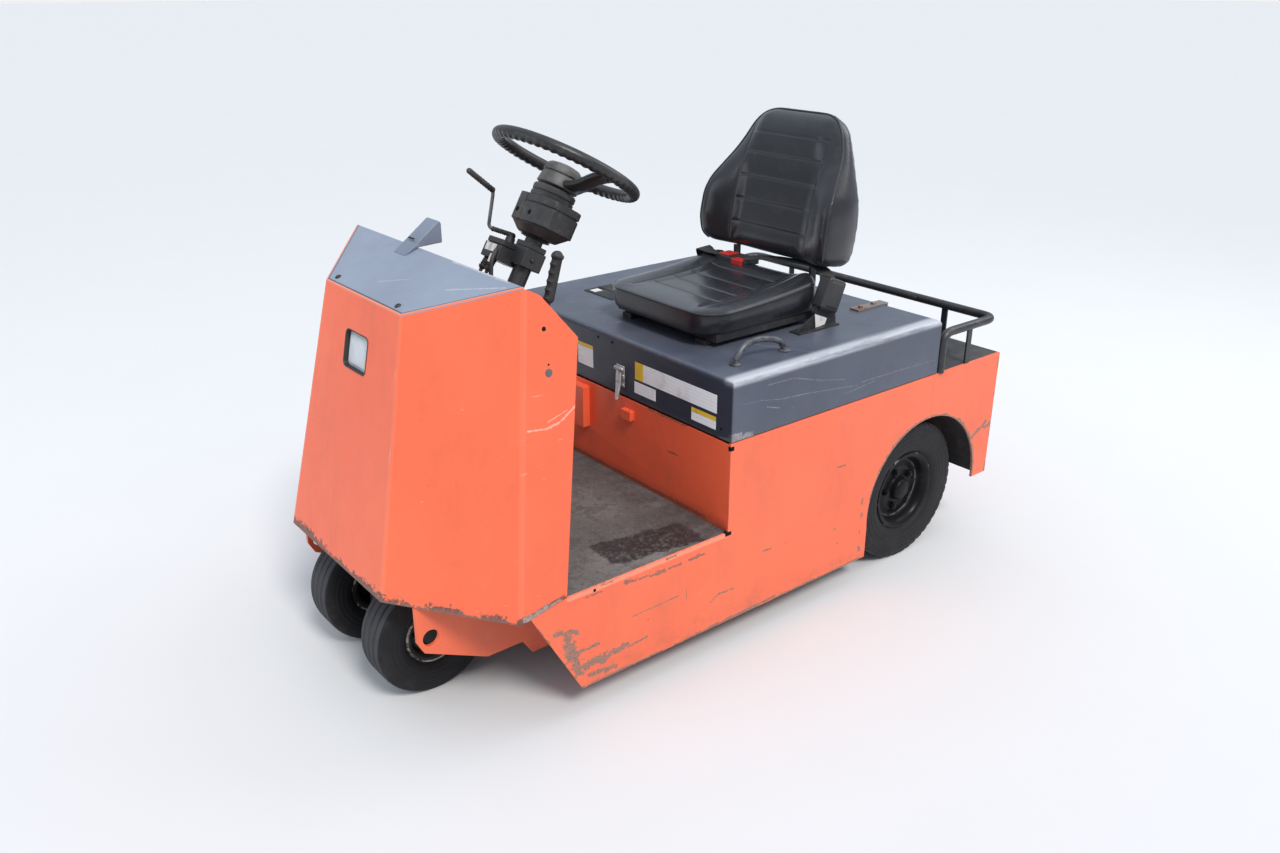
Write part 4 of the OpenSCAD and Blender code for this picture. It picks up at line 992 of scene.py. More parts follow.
cap_profile = [(0, -29), (46.2, -28.4), (47.6, -27), (47.6, -16), (46.6, -14.4), (43.4, -13.6),
               (42.6, -12.2), (41.8, -9.4), (37, -5.8), (26, -3.2), (12, -2.4), (0, -2.2)]
hub = [turned(profile, axis="z", steps=72) for profile in (hub_profile, cap_profile)]
piece("hub_cone", on_column(*hub), hub_grey, "steering_wheel", "black_rubber")

# Front axle: a steel yoke welded under a turntable disc, which turns on a post in the swivel
# plate, with one cross spindle for the twin wheels.
refit("front_axle", "front_yoke", 0.002, cast_black, "front_axle", "black_paint")

# Front tyres: twin solid tyres of black rubber, grooved round the tread and pressed on their rims.
# They are scuffed grey where they scrub the ground as they steer.
front_tyre_radius, front_track = 150, 143


def from_axle(f, x, z):
    """The distance from an axle that lies along Y, in metres."""
    flat = Vector((1, 0, 1))
    return f.vectors("DISTANCE", f.vectors("MULTIPLY", f.place, flat), at(x, 0, z) * flat, output="Value")


def worn_tyre(name, x, radius, dust_and_sheen, tread_grey):
    """Black tyre rubber with brown dust on its wall and a grey scuffed tread, for a wheel that stands
    on the ground at a place along X with a radius in millimetres."""
    f = Finish(name)
    out = from_axle(f, x, radius)
    radius = radius / 1000
    base = f.mix(f.noise(8.0, 5), (0.007, 0.007, 0.009), (0.015, 0.0145, 0.016))
    wall = f.times(f.patches(0.44, 0.74, 14.0, 7, 0.75), f.step(out, radius * 0.6, radius * 0.98))
    base = f.stained(base, 0.30, wall, dust_and_sheen)
    tread = f.times(f.step(out, radius - 0.0045, radius - 0.0025),
                    f.blend_values(f.patches(0.3, 0.6, 40.0, 6, 0.75), 0.7, 1.0))
    base = f.stained(base, 0.9, tread, tread_grey)
    rough = f.blend_values(tread, f.uneven(19.0, 0.2, 0.48), 0.85)
    return f.done(base, rough, f.bump(f.noise(260.0, 4, 0.7), 0.35, 0.0006), Specular_IOR_Level=0.25)


def tyre(centre, radius, width, rim, ribs, slots=0, slot_depth=0.0):
    """A tyre as a grid of angle by place along its section, a line from bead to bead over the tread.
    Each rib is a moulded ring on the wall, 1 mm high, with the section exp(-(r / rib_wide)^2). Three
    grooves run round the tread, exp(-(a / groove_wide)^4) deep, and slots cut its shoulders."""
    w, cell, rib_wide, groove_wide, groove_deep = width / 2, 1.9, 1.6, 2.4, 5.0
    half = [(w - 13.3, rim - 15.5), (w - 13.3, rim - 3), (w - 10, rim + 1.5), (w - 4.5, rim + 9),
            (w - 1.2, rim + 20), (w, (rim + radius) / 2), (w - 0.6, radius - 22), (w - 2.2, radius - 12),
            (w - 4.5, radius - 5.0), (w - 7.0, radius - 1.6), (w - 12, radius - 0.6),
            (w - 24, radius - 0.2), (0, radius)]
    line = np.array(half + [(-a, r) for a, r in half[-2::-1]])
    length = np.concatenate([[0], np.cumsum(np.linalg.norm(np.diff(line, axis=0), axis=1))])
    spots = np.linspace(0, length[-1], int(length[-1] / cell))
    along, out = (np.interp(spots, length, line[:, k]) for k in (0, 1))
    for _ in range(2):
        along[1:-1] = (along[:-2] + 2 * along[1:-1] + along[2:]) / 4
        out[1:-1] = (out[:-2] + 2 * out[1:-1] + out[2:]) / 4
    on_wall = (np.abs(along) > w - 8) & (out < radius - 18)
    for ring in ribs:
        along = along + np.where(on_wall, np.sign(along) * np.exp(-((out - ring) / rib_wide) ** 2), 0)
    tread = out > radius - 8
    for groove in (-width / 4, 0, width / 4):
        out = out - np.where(tread, groove_deep * np.exp(-((along - groove) / groove_wide) ** 4), 0)
    angle = np.linspace(0, 2 * np.pi, 288, endpoint=False)[:, None]
    shoulder = np.clip((np.abs(along) - width * 0.27) / 3, 0, 1)
    shoulder = shoulder * np.clip((out - (radius - 24)) / 6, 0, 1)
    r = out - (np.cos(angle * slots) > 0.55) * slot_depth * shoulder
    places = row_of(r * np.sin(angle), math.copysign(1, centre[1]) * along, r * np.cos(angle))
    return sheet_of(places + np.asarray(centre), loop=True)


front_rubber = worn_tyre("front_tyre_rubber", front_axle_x, front_tyre_radius, (0.075, 0.066, 0.058),
                         (0.062, 0.062, 0.066))
for side, name in ((1, "left"), (-1, "right")):
    part = tyre((front_axle_x, side * front_track, front_tyre_radius), front_tyre_radius, 94, 73,
                (92, 104, 116))
    piece("front_tread_" + name, [part], front_rubber, "front_wheels", "tyre_rubber",
          ("front_tyre_" + name,), angle=60)

# Front rims: black pressed steel discs with a raised hub, each held by five nuts. Old cream paint
# flakes from their flanges.
f = Finish("black_and_cream_rim")
base = f.mix(f.noise(9.0, 4), (0.010, 0.010, 0.012), (0.022, 0.021, 0.021))
base = f.stained(base, 0.35, f.patches(0.5, 0.72, 19.0, 7, 0.75), (0.10, 0.082, 0.068))
past_disc = f.step(from_axle(f, front_axle_x, front_tyre_radius), 0.0675, 0.0682)
flange = f.times(past_disc, f.patches(0.56, 0.46, 46.0, 6, 0.75))
base = f.mix(flange, base, (0.40, 0.36, 0.30))
cream_rim = f.done(base, 0.5, f.bump(f.noise(60.0, 4), 0.4, 0.0007), Specular_IOR_Level=0.3)
front_half = [(0, 36), (14, 36), (20, 35), (28, 33), (30, 29), (30.5, 20), (33, 17.5), (38, 16),
              (44, 14.5), (49, 14.5), (52.5, 17), (54, 22), (55, 29), (58, 35), (63, 38.6), (69, 39.6),
              (72, 39), (73, 37), (72.6, 35.2), (70, 34.4), (57.2, 33.8), (57.2, -33.8), (70, -34.4),
              (72.8, -36), (72, -39), (64, -38.4), (56, -34), (53, -28), (52, 0), (50, 6), (30, 7),
              (29, -32), (0, -32)]


def wheel_nuts(centre, ring, size, low, high, side):
    """Five nuts and their studs in a circle on a disc, along Y from low to high outward."""
    made = []
    for k in range(5):
        turn = 2 * math.pi * (k + 0.25) / 5
        place = (centre[0] + ring * math.sin(turn), centre[2] + ring * math.cos(turn))
        ends = sorted((centre[1] + side * low, centre[1] + side * high))
        made.append(hexagon(place, size, *ends, "y", 30 * k))
        stud, tips = size * 0.27, sorted((centre[1] + side * high, centre[1] + side * (high + 4)))
        profile = [(0, tips[0]), (stud, tips[0]), (stud, tips[1]), (0, tips[1])]
        made.append(turned(profile, (place[0], 0, place[1]), "y", 16))
    return made


for side, name in ((1, "left"), (-1, "right")):
    centre = (front_axle_x, side * front_track, front_tyre_radius)
    disc = turned([(r, side * a) for r, a in front_half], centre, "y", 96)
    nuts = wheel_nuts(centre, 42, 15, 14, 22, side)
    piece("front_rim_disc_" + name, [disc] + nuts, cream_rim, "front_wheels", "black_paint",
          ("front_rim_" + name,), angle=40)

# Rear tyres: larger solid tyres of black rubber, with moulded rings on the wall and slots cut into
# the tread's shoulders, dusty brown and grey.
rear_tyre_radius, rear_track = 208, 408.5
rear_rubber = worn_tyre("rear_tyre_rubber", 0, rear_tyre_radius, (0.070, 0.062, 0.056),
                        (0.085, 0.082, 0.080))
for side, name in ((1, "left"), (-1, "right")):
    part = tyre((0, side * rear_track, rear_tyre_radius), rear_tyre_radius, 112, 117,
                (126, 133, 141, 153, 168, 184), 46, 2.6)
    piece("rear_tread_" + name, [part], rear_rubber, "rear_wheel_" + name, "tyre_rubber",
          ("rear_tyre_" + name,), angle=60)

# Rear rims: deep pressed steel dishes in glossy black, with a chipped inner edge, a circle of
# nuts and a domed cap.
f = Finish("glossy_black_rim")
base = f.mix(f.noise(7.0, 4), (0.004, 0.004, 0.006), (0.010, 0.0095, 0.010))
base = f.stained(base, 0.22, f.patches(0.52, 0.74, 17.0, 7, 0.75), (0.085, 0.072, 0.060))
out = from_axle(f, 0, rear_tyre_radius)
line = f.times(f.step(out, 0.0865, 0.0871), f.step(out, 0.0896, 0.0890))
line = f.times(line, f.patches(0.62, 0.48, 30.0, 5, 0.7))
base = f.stained(base, 0.45, line, (0.20, 0.19, 0.185))
chip = f.times(f.step(out, 0.1125, 0.1140), f.patches(0.56, 0.64, 34.0, 5, 0.7))
base = f.mix(chip, base, (0.20, 0.17, 0.15))
deep_black = f.done(base, f.uneven(12.0, 0.25, 0.22), f.bump(f.noise(50.0, 4), 0.25, 0.0006),
                    Specular_IOR_Level=0.13)
rear_half = [(0, 46), (16, 45.5), (26, 43.5), (31, 39), (32, 34), (32, 24), (35, 20), (41, 18.5),
             (52, 20.5), (62, 21), (70, 18.5), (78, 15.5), (84, 15), (88, 16.5), (91, 20), (93.5, 27),
             (96, 35), (100, 42), (105, 46.5), (110, 48.6), (114, 49), (116.4, 47.8), (117, 46),
             (116, 44), (112, 43.2), (100.8, 42.8), (100.8, -42.8), (112, -43.2), (116.8, -45),
             (116, -48), (108, -47.4), (99, -43), (95, -34), (94, 0), (90, 8), (36, 9), (34, -41),
             (0, -41)]
for side, name in ((1, "left"), (-1, "right")):
    centre = (0, side * rear_track, rear_tyre_radius)
    disc = turned([(r, side * a) for r, a in rear_half], centre, "y", 120)
    nuts = wheel_nuts(centre, 55, 21, 20.5, 30, side)
    piece("rear_rim_dish_" + name, [disc] + nuts, deep_black, "rear_wheel_" + name, "black_paint",
          ("rear_rim_" + name,), angle=40)

# Battery hood: a folded 5 mm steel cover in slate-grey enamel over the battery, its top edges
# bent round. Hands and boots have worn the near top edge to pale streaks.
hood_front, hood_side, hood_top = 733, 489, 721
f, base, rough, relief = enamel("slate_hood_enamel", slate, slate_dark, dirt=(0.13, 0.11, 0.10), wave=0.8)
# Painted reflection: the hood's top is made lighter and bluer in cloudy patches, as a sheen of the sky.
dust_and_sheen = f.times(f.step(f.axis("Z"), 0.706, 0.719), f.patches(0.25, 0.7, 6.0, 6, 0.65, None, 8.0))
base = f.stained(base, 0.40, dust_and_sheen, (0.125, 0.135, 0.160))
near_edge = f.times(f.step(f.axis("Y"), 0.448, 0.472), f.step(f.axis("Z"), 0.700, 0.714))
streaks = f.patches(0.36, 0.56, 30.0, 7, 0.78, f.stretched(0.07, 1, 1), 4.0)
base = f.stained(base, 0.85, f.times(near_edge, f.blend_values(streaks, 0.35, 1.0)), (0.50, 0.52, 0.56))
corner = on_face("y", hood_side, [((670, 568), (733, 568), 13), ((705, 580), (733, 582), 9)])
corner += on_face("x", hood_front, [((489, 575), (450, 568), 5)])
base, rough = worn(f, base, rough, corner, colour=(0.27, 0.27, 0.28), ragged=0.6, grain=60.0, rusty=0.3)
left_scrapes = [((703, 657), (640, 653), 0.8), ((640, 653), (570, 640), 1.0),
                ((570, 640), (472, 632), 1.2), ((472, 632), (290, 610), 1.0),
                ((618, 687), (529, 685), 1.2), ((529, 685), (426, 655), 1.2),
                ((426, 655), (340, 638), 0.9), ((273, 615), (110, 613), 1.1),
                ((110, 613), (-30, 609), 0.8), ((335, 597), (219, 606), 1.0),
                ((617, 631), (575, 618), 1.6)]
top_scrapes = [((660, -200), (560, -60), 1.2), ((500, 320), (420, 470), 1.4), ((120, 60), (20, 200), 1.4)]
right_scrapes = [((560, 650), (380, 640), 1.2), ((200, 600), (60, 612), 1.2)]
scrapes = on_face("y", hood_side, left_scrapes) + on_face("y", -hood_side, right_scrapes)
scrapes += on_face("z", hood_top, top_scrapes)
scrapes += on_face("x", hood_front, [((300, 700), (210, 706), 1.0)])
base, rough = worn(f, base, rough, scrapes, colour=(0.34, 0.36, 0.40), ragged=0.8, share=0.40, rusty=0)
front_rub = on_face("x", hood_front, [((-300, 572), (60, 570), 3), ((150, 571), (420, 570), 3),
                                      ((20, 714), (300, 716), 3)])
base, rough = worn(f, base, rough, front_rub, colour=(0.20, 0.14, 0.11), ragged=1.1, share=0.8)
# Painted shade: the hood's front face is darkened to a deep navy.
base = f.stained(base, 0.66, f.step(f.axis("X"), x_of(727), x_of(732)), (0.010, 0.014, 0.027))
refit("battery_hood", "hood_cover", 0.0015, f.done(base, rough, relief), "hood", "slate_paint")

# Plates on the hood's front: plain stickers of white and yellow vinyl, dirty and rounded at their
# edges, between small dark rivets.
f = Finish("blank_white_sticker")
white = f.mix(f.patches(0.5, 0.75, 14.0, 6, 0.7), (0.94, 0.95, 0.97), (0.74, 0.72, 0.70))
white = f.stained(white, 0.12, f.step(f.bands(34.0, "Z"), 0.80, 0.9), (0.35, 0.34, 0.33))
white_sticker = f.done(white, 0.45)
f = Finish("blank_yellow_sticker")
yellow = f.mix(f.patches(0.52, 0.75, 17.0, 6, 0.7), (0.88, 0.56, 0.025), (0.45, 0.30, 0.10))
yellow_sticker = f.done(yellow, 0.45)
whites = [((127, 626), (437, 673)), ((124, 588), (210, 619)), ((347, 584), (435, 617)),
          ((-123, 605), (-55, 667))]
yellows = [((127, 626), (160, 673)), ((347, 606), (435, 617)), ((-123, 657), (-55, 667))]
for name, plates, sheet, depth in (("white", whites, white_sticker, 0.6),
                                   ("yellow", yellows, yellow_sticker, 0.9)):
    parts = [block((hood_front - 0.2, *a), (hood_front + depth, *b)) for a, b in plates]
    piece("hood_stickers_" + name, parts, sheet, "hood", "slate_paint", edge=0.25, segments=1)
rivet = [(0, -0.2), (3.2, -0.2), (3.2, 1), (2, 2), (0, 2.3)]
rivets = [turned(rivet, (hood_front, y, z), "x", 20)
          for y, z in ((454, 593), (-140, 590), (-30, 700), (30, 700))]
piece("hood_front_rivets", rivets, hole_shade_and_rivet_black, "hood", "slate_paint")

# Cable flap: two halves of moulded black plastic on the hood's top that fold up about a hinge
# between them, with a blank paper label.
flap = [block((435, -362, 720.8), (485, -228, 724)), block((487, -362, 720.8), (537, -228, 724)),
        sweep(between((486, -356, 724.5), (486, -234, 724.5), 6), 2.6, 16)]
piece("cable_flap", flap, boot_rubber, "hood", "slate_paint", edge=1.6)
piece("flap_label", [block((500, -345, 723.8), (528, -318, 724.5))], paper, "hood", "slate_paint",
      edge=0.2, segments=1)

# Hood latch: a tapered toggle of zinc plated steel that turns on a barrel, on a base plate riveted
# to the hood's front. It hangs down toward the catch on the riser.
f = Finish("dull_zinc_latch")
base = f.mix(f.patches(0.48, 0.66, 40.0, 5, 0.7), (0.62, 0.61, 0.60), (0.26, 0.22, 0.19))
latch_steel = f.done(base, 0.34, f.bump(f.noise(160.0, 4), 0.3, 0.0005), Metallic=0.55)
base_plate = block((733.3, 52, 590), (736.4, 84, 648))
toggle_section = np.array([(0, -1), (3, -1), (6.5, -0.55), (6.5, 0.55), (3, 1), (0, 1)])
toggle_rows = []
for half, level, out in ((10.5, 646, 0), (10.5, 640, 0), (10, 612, 2), (8, 585, 4), (5.5, 562, 7),
                         (4, 556, 8)):
    places = toggle_section * (1, half) + (738.5 + out, 68)
    toggle_rows.append(np.insert(places, 2, level, axis=1))
barrel = sweep(between((741, 55, 640), (741, 81, 640), 6), 5.4, 20)
rivet = [(0, 736), (3.4, 736), (3.0, 738), (0, 738.6)]
latch_rivets = [turned(rivet, (0, y, z), "x", 20) for y in (56, 80) for z in (596, 622)]
piece("toggle_latch", [base_plate, sheet_of(toggle_rows), barrel] + latch_rivets, latch_steel, "hood",
      "bare_steel", ("hood_latch",), edge=0.9)

# Hood handle: a bent rod of black painted steel with a round foot at each end, bolted through the
# hood. Hands have worn its paint.
handle_y = 404
bends = [(647, 719), (641, 741), (616, 765), (576, 772), (524, 762), (488, 748), (476, 719)]
rod_path = rounded_path([(x, handle_y, z) for x, z in bends], 16)
foot = [(0, 720.9), (15, 720.9), (15, 723.6), (13.6, 725), (11, 727), (9.2, 732), (0, 733)]
feet = [turned(foot, (x, handle_y, 0), "z", 40) for x in (477, 646)]
f = Finish("handled_steel_rod")
base = f.mix(f.patches(0.40, 0.62, 34.0, 6, 0.75), (0.105, 0.110, 0.120), (0.030, 0.030, 0.034))
handled_steel = f.done(base, 0.36, f.bump(f.noise(160.0, 3), 0.3, 0.0005), Metallic=0.2)
piece("handle_rod", [sweep(rod_path, 8.2, 24, dome=False)] + feet, handled_steel, "hood", "black_paint",
      ("hood_handle",))

# Hinges: two flat steel straps, rusty and bolted over the hood's back edge. They turn on pins in
# ears that are welded on behind the hood.
refit("hinge_straps", "strap_hinges", 0.0012, rusty_steel, "hood", "bare_steel")
strap_bolts = [hexagon((x, side * 281), 15, 725.5, 732, "z", 12 * x) for x in (-8, 48)
               for side in (-1, 1)]
piece("strap_bolts", strap_bolts, rusty_steel, "hood", "bare_steel", edge=0.8)
refit("hinge_brackets", "hinge_ears", 0.0012, coupling_black, "chassis", "black_paint")

# Guard rail: one length of steel tube bent round the back of the deck and welded to flat posts.
# Its near side is rubbed to a dull grey.
rail_black = worn_black("rubbed_black_rail", (0.016, 0.016, 0.018), (0.10, 0.094, 0.090), share=0.4,
                        gloss=0.34, bare=0.5)
rail_y, rail_back, rail_front, rail_top, deck_top = 484, -302, -66.5, 677, 564
rail_path = [(rail_front, -rail_y, deck_top), (rail_front, -rail_y, rail_top),
             (rail_back, -rail_y, rail_top), (rail_back, rail_y, rail_top),
             (rail_front, rail_y, rail_top), (rail_front, rail_y, deck_top)]
tube = sweep(rounded_path(rail_path, 38, 10), 12.5, 28, dome=False, up=(0.3, 0.2, 1))
piece("rail_tube", [tube], rail_black, "chassis", "black_paint", ("rear_rail",))
rail_posts = []
for y in (-315, 315):
    rail_posts.append(block((-305, y - 10, deck_top), (-299, y + 10, 667.5)))
for y in (-rail_y, rail_y):
    rail_posts.append(block((-199, y - 3, deck_top), (-179, y + 3, 667.5)))
piece("rail_posts", rail_posts, rail_black, "chassis", "black_paint", edge=1.2)

# Seat frame: a pressed steel pan on two slide rails, with two posts up to the backrest, welded and
# painted black.
seat_steel = worn_black("black_seat_steel", share=0.55, gloss=0.5, bare=0.3)
refit("seat_frame", "seat_pan", 0.0015, seat_steel, "hood", "black_paint")

# Seat cushion: a foam pad under sewn black vinyl, deeper at the back, with a raised roll down
# each side, four cross channels and a welted skirt. The cover is blown up over its seams as cloth.


def smooth_table(x, table):
    """Values read off a table of x and value by straight lines, eased at its corners."""
    table = np.asarray(table, dtype=float)
    return sum(np.interp(x + shift, table[:, 0], table[:, 1]) for shift in (-9, -4.5, 0, 4.5, 9)) / 5


def settled(made):
    """A mesh of an object as its modifiers leave it."""
    shown = made.evaluated_get(bpy.context.evaluated_depsgraph_get())
    return bpy.data.meshes.new_from_object(shown)


def places_of(mesh):
    """The places of a mesh, as an array in metres."""
    spots = np.empty(len(mesh.vertices) * 3)
    mesh.vertices.foreach_get("co", spots)
    return spots.reshape(-1, 3)


def stuffed(name, part, held_near):
    """A padded shape as cloth: it is cut into even cells, pinned where held_near gives 1, blown up
    from inside and let out by at most swell millimetres. Gives the mesh, still to be attached."""
    cell, swell, pressure = 5.5, 5.0, 4.0
    verts, faces = part
    mesh = bpy.data.meshes.new(name)
    mesh.from_pydata((verts / 1000 + (rear_axle_x, 0, 0)).tolist(), [], faces)
    rough_form = in_scene(name, mesh)
    cells = rough_form.modifiers.new("cells", "REMESH")
    cells.mode, cells.voxel_size, cells.use_smooth_shade = "VOXEL", cell / 1000, True
    even = rough_form.modifiers.new("even", "SMOOTH")
    even.factor, even.iterations = 0.5, 8
    pad_mesh = settled(rough_form)
    bpy.data.objects.remove(rough_form)
    pad = in_scene(name, pad_mesh)
    start = places_of(pad_mesh)
    hold = np.round(held_near((start - (rear_axle_x, 0, 0)) * 1000), 1)
    group = pad.vertex_groups.new(name="held")
    for level in np.unique(hold[hold > 0]):
        group.add(np.nonzero(hold == level)[0].tolist(), float(level), "REPLACE")
    cloth = pad.modifiers.new("blown", "CLOTH")
    fabric = cloth.settings
    fabric.vertex_group_mass = "held"
    fabric.use_pressure, fabric.uniform_pressure_force = True, pressure
    fabric.effector_weights.gravity = 0
    fabric.quality = 5
    fabric.mass, fabric.pin_stiffness = 0.3, 1.0
    fabric.tension_stiffness, fabric.compression_stiffness, fabric.bending_stiffness = 25, 25, 3.0
    cloth.point_cache.frame_start, cloth.point_cache.frame_end = 1, 20
    for moment in range(1, 21):
        bpy.context.scene.frame_set(moment)
    shift = (places_of(settled(pad)) - start) * 1000
    reach = np.linalg.norm(shift, axis=1, keepdims=True)
    shift *= np.minimum(1, swell * np.tanh(reach / swell) / np.maximum(reach, 1e-6))
    pad.modifiers.remove(cloth)
    bpy.context.scene.frame_set(1)
    pad_mesh.vertices.foreach_set("co", (start + shift / 1000).ravel())
    finer = pad.modifiers.new("finer", "SUBSURF")
    finer.levels = finer.render_levels = 1
    final = settled(pad)
    pad.modifiers.clear()
    pad.vertex_groups.clear()
    pad.data = final
    final.name = name
    final.shade_smooth()
    return pad


def sewn(pad, depth_of):
    """Presses sewn channels into a pad: depth_of gives each place's shift in millimetres."""
    spots = places_of(pad.data)
    spots = spots + depth_of((spots - (rear_axle_x, 0, 0)) * 1000) / 1000
    pad.data.vertices.foreach_set("co", spots.ravel())
    pad.data.update()


def dip(gap, width):
    """1 on a seam and 0 away from it, by the distance from the seam."""
    return np.exp(-(gap / width) ** 2)


def on_seams(spots, seams, width):
    """1 on any of some seams and 0 away from them all."""
    return np.max([dip(spots - seam, width) for seam in seams], axis=0)


seat_y = 86
middle_line = [(236, 844), (262, 841), (300, 833), (345, 825), (390, 820), (455, 817), (525, 817),
               (580, 819), (646, 821)]
crest_line = [(236, 866), (262, 861), (293, 855), (350, 846), (425, 837), (471, 832), (525, 828),
              (574, 826), (646, 824)]
welt_line = [(236, 838), (281, 831), (324, 826), (400, 820), (481, 815), (560, 812), (646, 811)]
side_seam = 140
cross_seams = (315, 385, 455, 528)


def cushion_half_width(x):
    """Half the cushion's width at a place along X: straight sides with rounded corners."""
    front = np.sqrt(np.clip(1 - ((np.clip(x, 566, 646) - 566) / 80.5) ** 2, 0.0, 1))
    rear = np.sqrt(np.clip(1 - ((281 - np.clip(x, 236, 281)) / 45.5) ** 2, 0.0, 1))
    return 218 - 80 * (1 - front) - 45 * (1 - rear)


cushion_low = 756.0
stations = np.concatenate([[241, 243, 247, 254], np.linspace(264, 624, 46), [632, 638, 641.5, 643.5]])
ring_rows = []
for x in stations:
    half = float(cushion_half_width(x))
    mid, crest, welt_z = (smooth_table(x, line) for line in (middle_line, crest_line, welt_line))
    across = np.linspace(-half + 8, half - 8, 61)
    share = np.clip((np.abs(across) - side_seam + 34) / 88, 0, 1)
    top = mid + (crest - mid) * share * share * (3 - 2 * share) - 4
    brink = np.maximum(np.clip((np.abs(across) - (half - 52)) / 44, 0, 1), np.clip((x - 592) / 52, 0, 1))
    top = top - (top - welt_z - 3) * brink ** 2.4
    side_z = np.linspace(welt_z - 3, cushion_low + 4, 9)
    bulge = half - 3 + 3 * np.sin(np.linspace(0, np.pi, 9)) - 9 * np.linspace(0, 1, 9) ** 3
    y = np.concatenate([across, bulge, across[::-4], -bulge[::-1]])
    z = np.concatenate([top, side_z, np.full(16, cushion_low), side_z[::-1]])
    ring_rows.append(row_of(x, y + seat_y, z))


def cushion_hold(p):
    """How firmly each place of the cushion is held: 1 at seams, welt and base."""
    x, y, z = p[:, 0], np.abs(p[:, 1] - seat_y), p[:, 2]
    half = cushion_half_width(x)
    top = z > 785
    panel = on_seams(x, cross_seams, 5) * (y < side_seam + 4)
    sides = dip(y - side_seam, 5) * (x < 600) * top
    base = np.clip((772 - z) / 8, 0, 1)
    welt = dip(np.hypot(np.minimum(half - y, 645 - x), smooth_table(x, welt_line) - z), 6)
    return np.clip(np.max([panel * top, sides, base, welt], axis=0) * 1.15, 0, 1)


cushion = stuffed("seat_cushion_cover", sheet_of(ring_rows), cushion_hold)


def cushion_seams(p):
    """Narrow sewn valleys across and along the cushion's top."""
    x, y, z = p[:, 0], np.abs(p[:, 1] - seat_y), p[:, 2]
    top = np.clip((z - 788) / 8, 0, 1)
    cross = on_seams(x, cross_seams, 3.0) * np.clip((side_seam - y) / 4, 0, 1)
    along = dip(y - side_seam, 3.2) * np.clip((606 - x) / 14, 0, 1)
    down = np.maximum(cross, along) * top * 1.8
    return row_of(0, 0, -down)


sewn(cushion, cushion_seams)
f = Finish("black_seat_vinyl")
base = f.mix(f.patches(0.35, 0.7, 5.0, 5, 0.6), (0.010, 0.010, 0.012), (0.019, 0.019, 0.023))
base = f.stained(base, 0.22, f.patches(0.52, 0.78, 15.0, 7, 0.75, None, 3.0), (0.10, 0.095, 0.092))
relief = f.bump(f.plus(f.times(f.cells(620.0), 0.4), f.noise(45.0, 4, 0.6)), 0.25, 0.0006)
seat_vinyl = f.done(base, f.uneven(9.0, 0.20, 0.20, 5), relief, Specular_IOR_Level=0.3, Coat_Weight=0.9,
                    Coat_Roughness=0.22, Coat_IOR=1.32, Sheen_Weight=0.04, Sheen_Roughness=0.4,
                    Sheen_Tint=(0.72, 0.84, 1.0))
fit_out(cushion, seat_vinyl, "hood", "black_vinyl", "seat_cushion")

# Backrest: foam on a steel shell under the same sewn vinyl: a hollow middle with cross channels
# between two forward wings, narrowing upward, and a flat back joined on by a welted gusset.
back_place, back_lean = (243, seat_y, 873), -9.5
width_line = [(-4, 206), (10, 225), (24, 233), (70, 238), (140, 235), (180, 227), (221, 211), (265, 194),
              (301, 180), (350, 158), (380, 128), (392, 96)]
wing_line = [(-4, 16), (24, 38), (70, 48), (140, 48), (180, 36), (221, 12), (265, -14), (301, -28),
             (350, -38), (392, -50)]
middle_face = [(-4, -8), (20, -2), (60, 0), (140, -2), (240, -5), (320, -12), (350, -22), (392, -48)]
back_side_seam = 145
back_cross = (70, 135, 200, 265, 322)
levels = np.concatenate([[3, 5, 9, 16], np.linspace(24, 368, 46), [376, 382, 386, 388.5]])
ring_rows = []
for h in levels:
    half, wing, face = (smooth_table(h, line) for line in (width_line, wing_line, middle_face))
    half = 1.03 * half
    ease = min(1, (h + 2) / 24, (392 - h) / 26)
    half_here = half - 14 * (1 - math.sqrt(max(1 - (1 - ease) ** 2, 0)))
    deep = -96 + 6 * (h > 370)
    across = np.linspace(-half_here + 9, half_here - 9, 61)
    wing_wide = max(half_here + 26 - back_side_seam, 40)
    share = np.clip((np.abs(across) - back_side_seam + 38) / wing_wide, 0, 1)
    front = face + (wing - face) * share * share * (3 - 2 * share) - 5
    edge = np.clip((np.abs(across) - (half_here - 30)) / 30, 0, 1)
    front = front - 9 * edge ** 2 - 16 * (1 - ease) ** 2
    gusset = np.linspace(front[-1] - 8, deep + 8, 11)
    side_y = half_here - 2 + 3 * np.sin(np.linspace(0, np.pi, 11)) - 7 * np.linspace(0, 1, 11) ** 4
    rear = np.full(16, deep + 10 * (1 - ease))
    x = np.concatenate([front, gusset, rear, gusset[::-1]])
    ring_rows.append(row_of(x, np.concatenate([across, side_y, across[::-4], -side_y[::-1]]), h))
lean_c, lean_s = math.cos(math.radians(-back_lean)), math.sin(math.radians(-back_lean))


def on_back(p):
    """Places as forward of the backrest's plane, left of its middle and up along its lean."""
    x, z = p[:, 0] - back_place[0], p[:, 2] - back_place[2]
    return x * lean_c + z * lean_s, p[:, 1] - seat_y, z * lean_c - x * lean_s


def back_hold(p):
    """How firmly each place of the backrest is held: 1 at seams, welts and the back board."""
    d, y, h = on_back(p)
    side = np.abs(y)
    half = smooth_table(h, width_line)
    front = d > smooth_table(h, middle_face) - 22
    panel = on_seams(h, back_cross, 5) * (side < back_side_seam + 3) * front
    sides = dip(side - back_side_seam, 5) * (h > 20) * (h < 345) * front
    board = np.clip((-80 - d) / 8, 0, 1)
    welt = dip(np.hypot(half - 3 - side, d - smooth_table(h, wing_line) + 16), 6)
    return np.clip(np.max([panel, sides, board, welt], axis=0) * 1.15, 0, 1)


backrest = stuffed("seat_back_cover", moved(sheet_of(ring_rows), back_place, back_lean), back_hold)


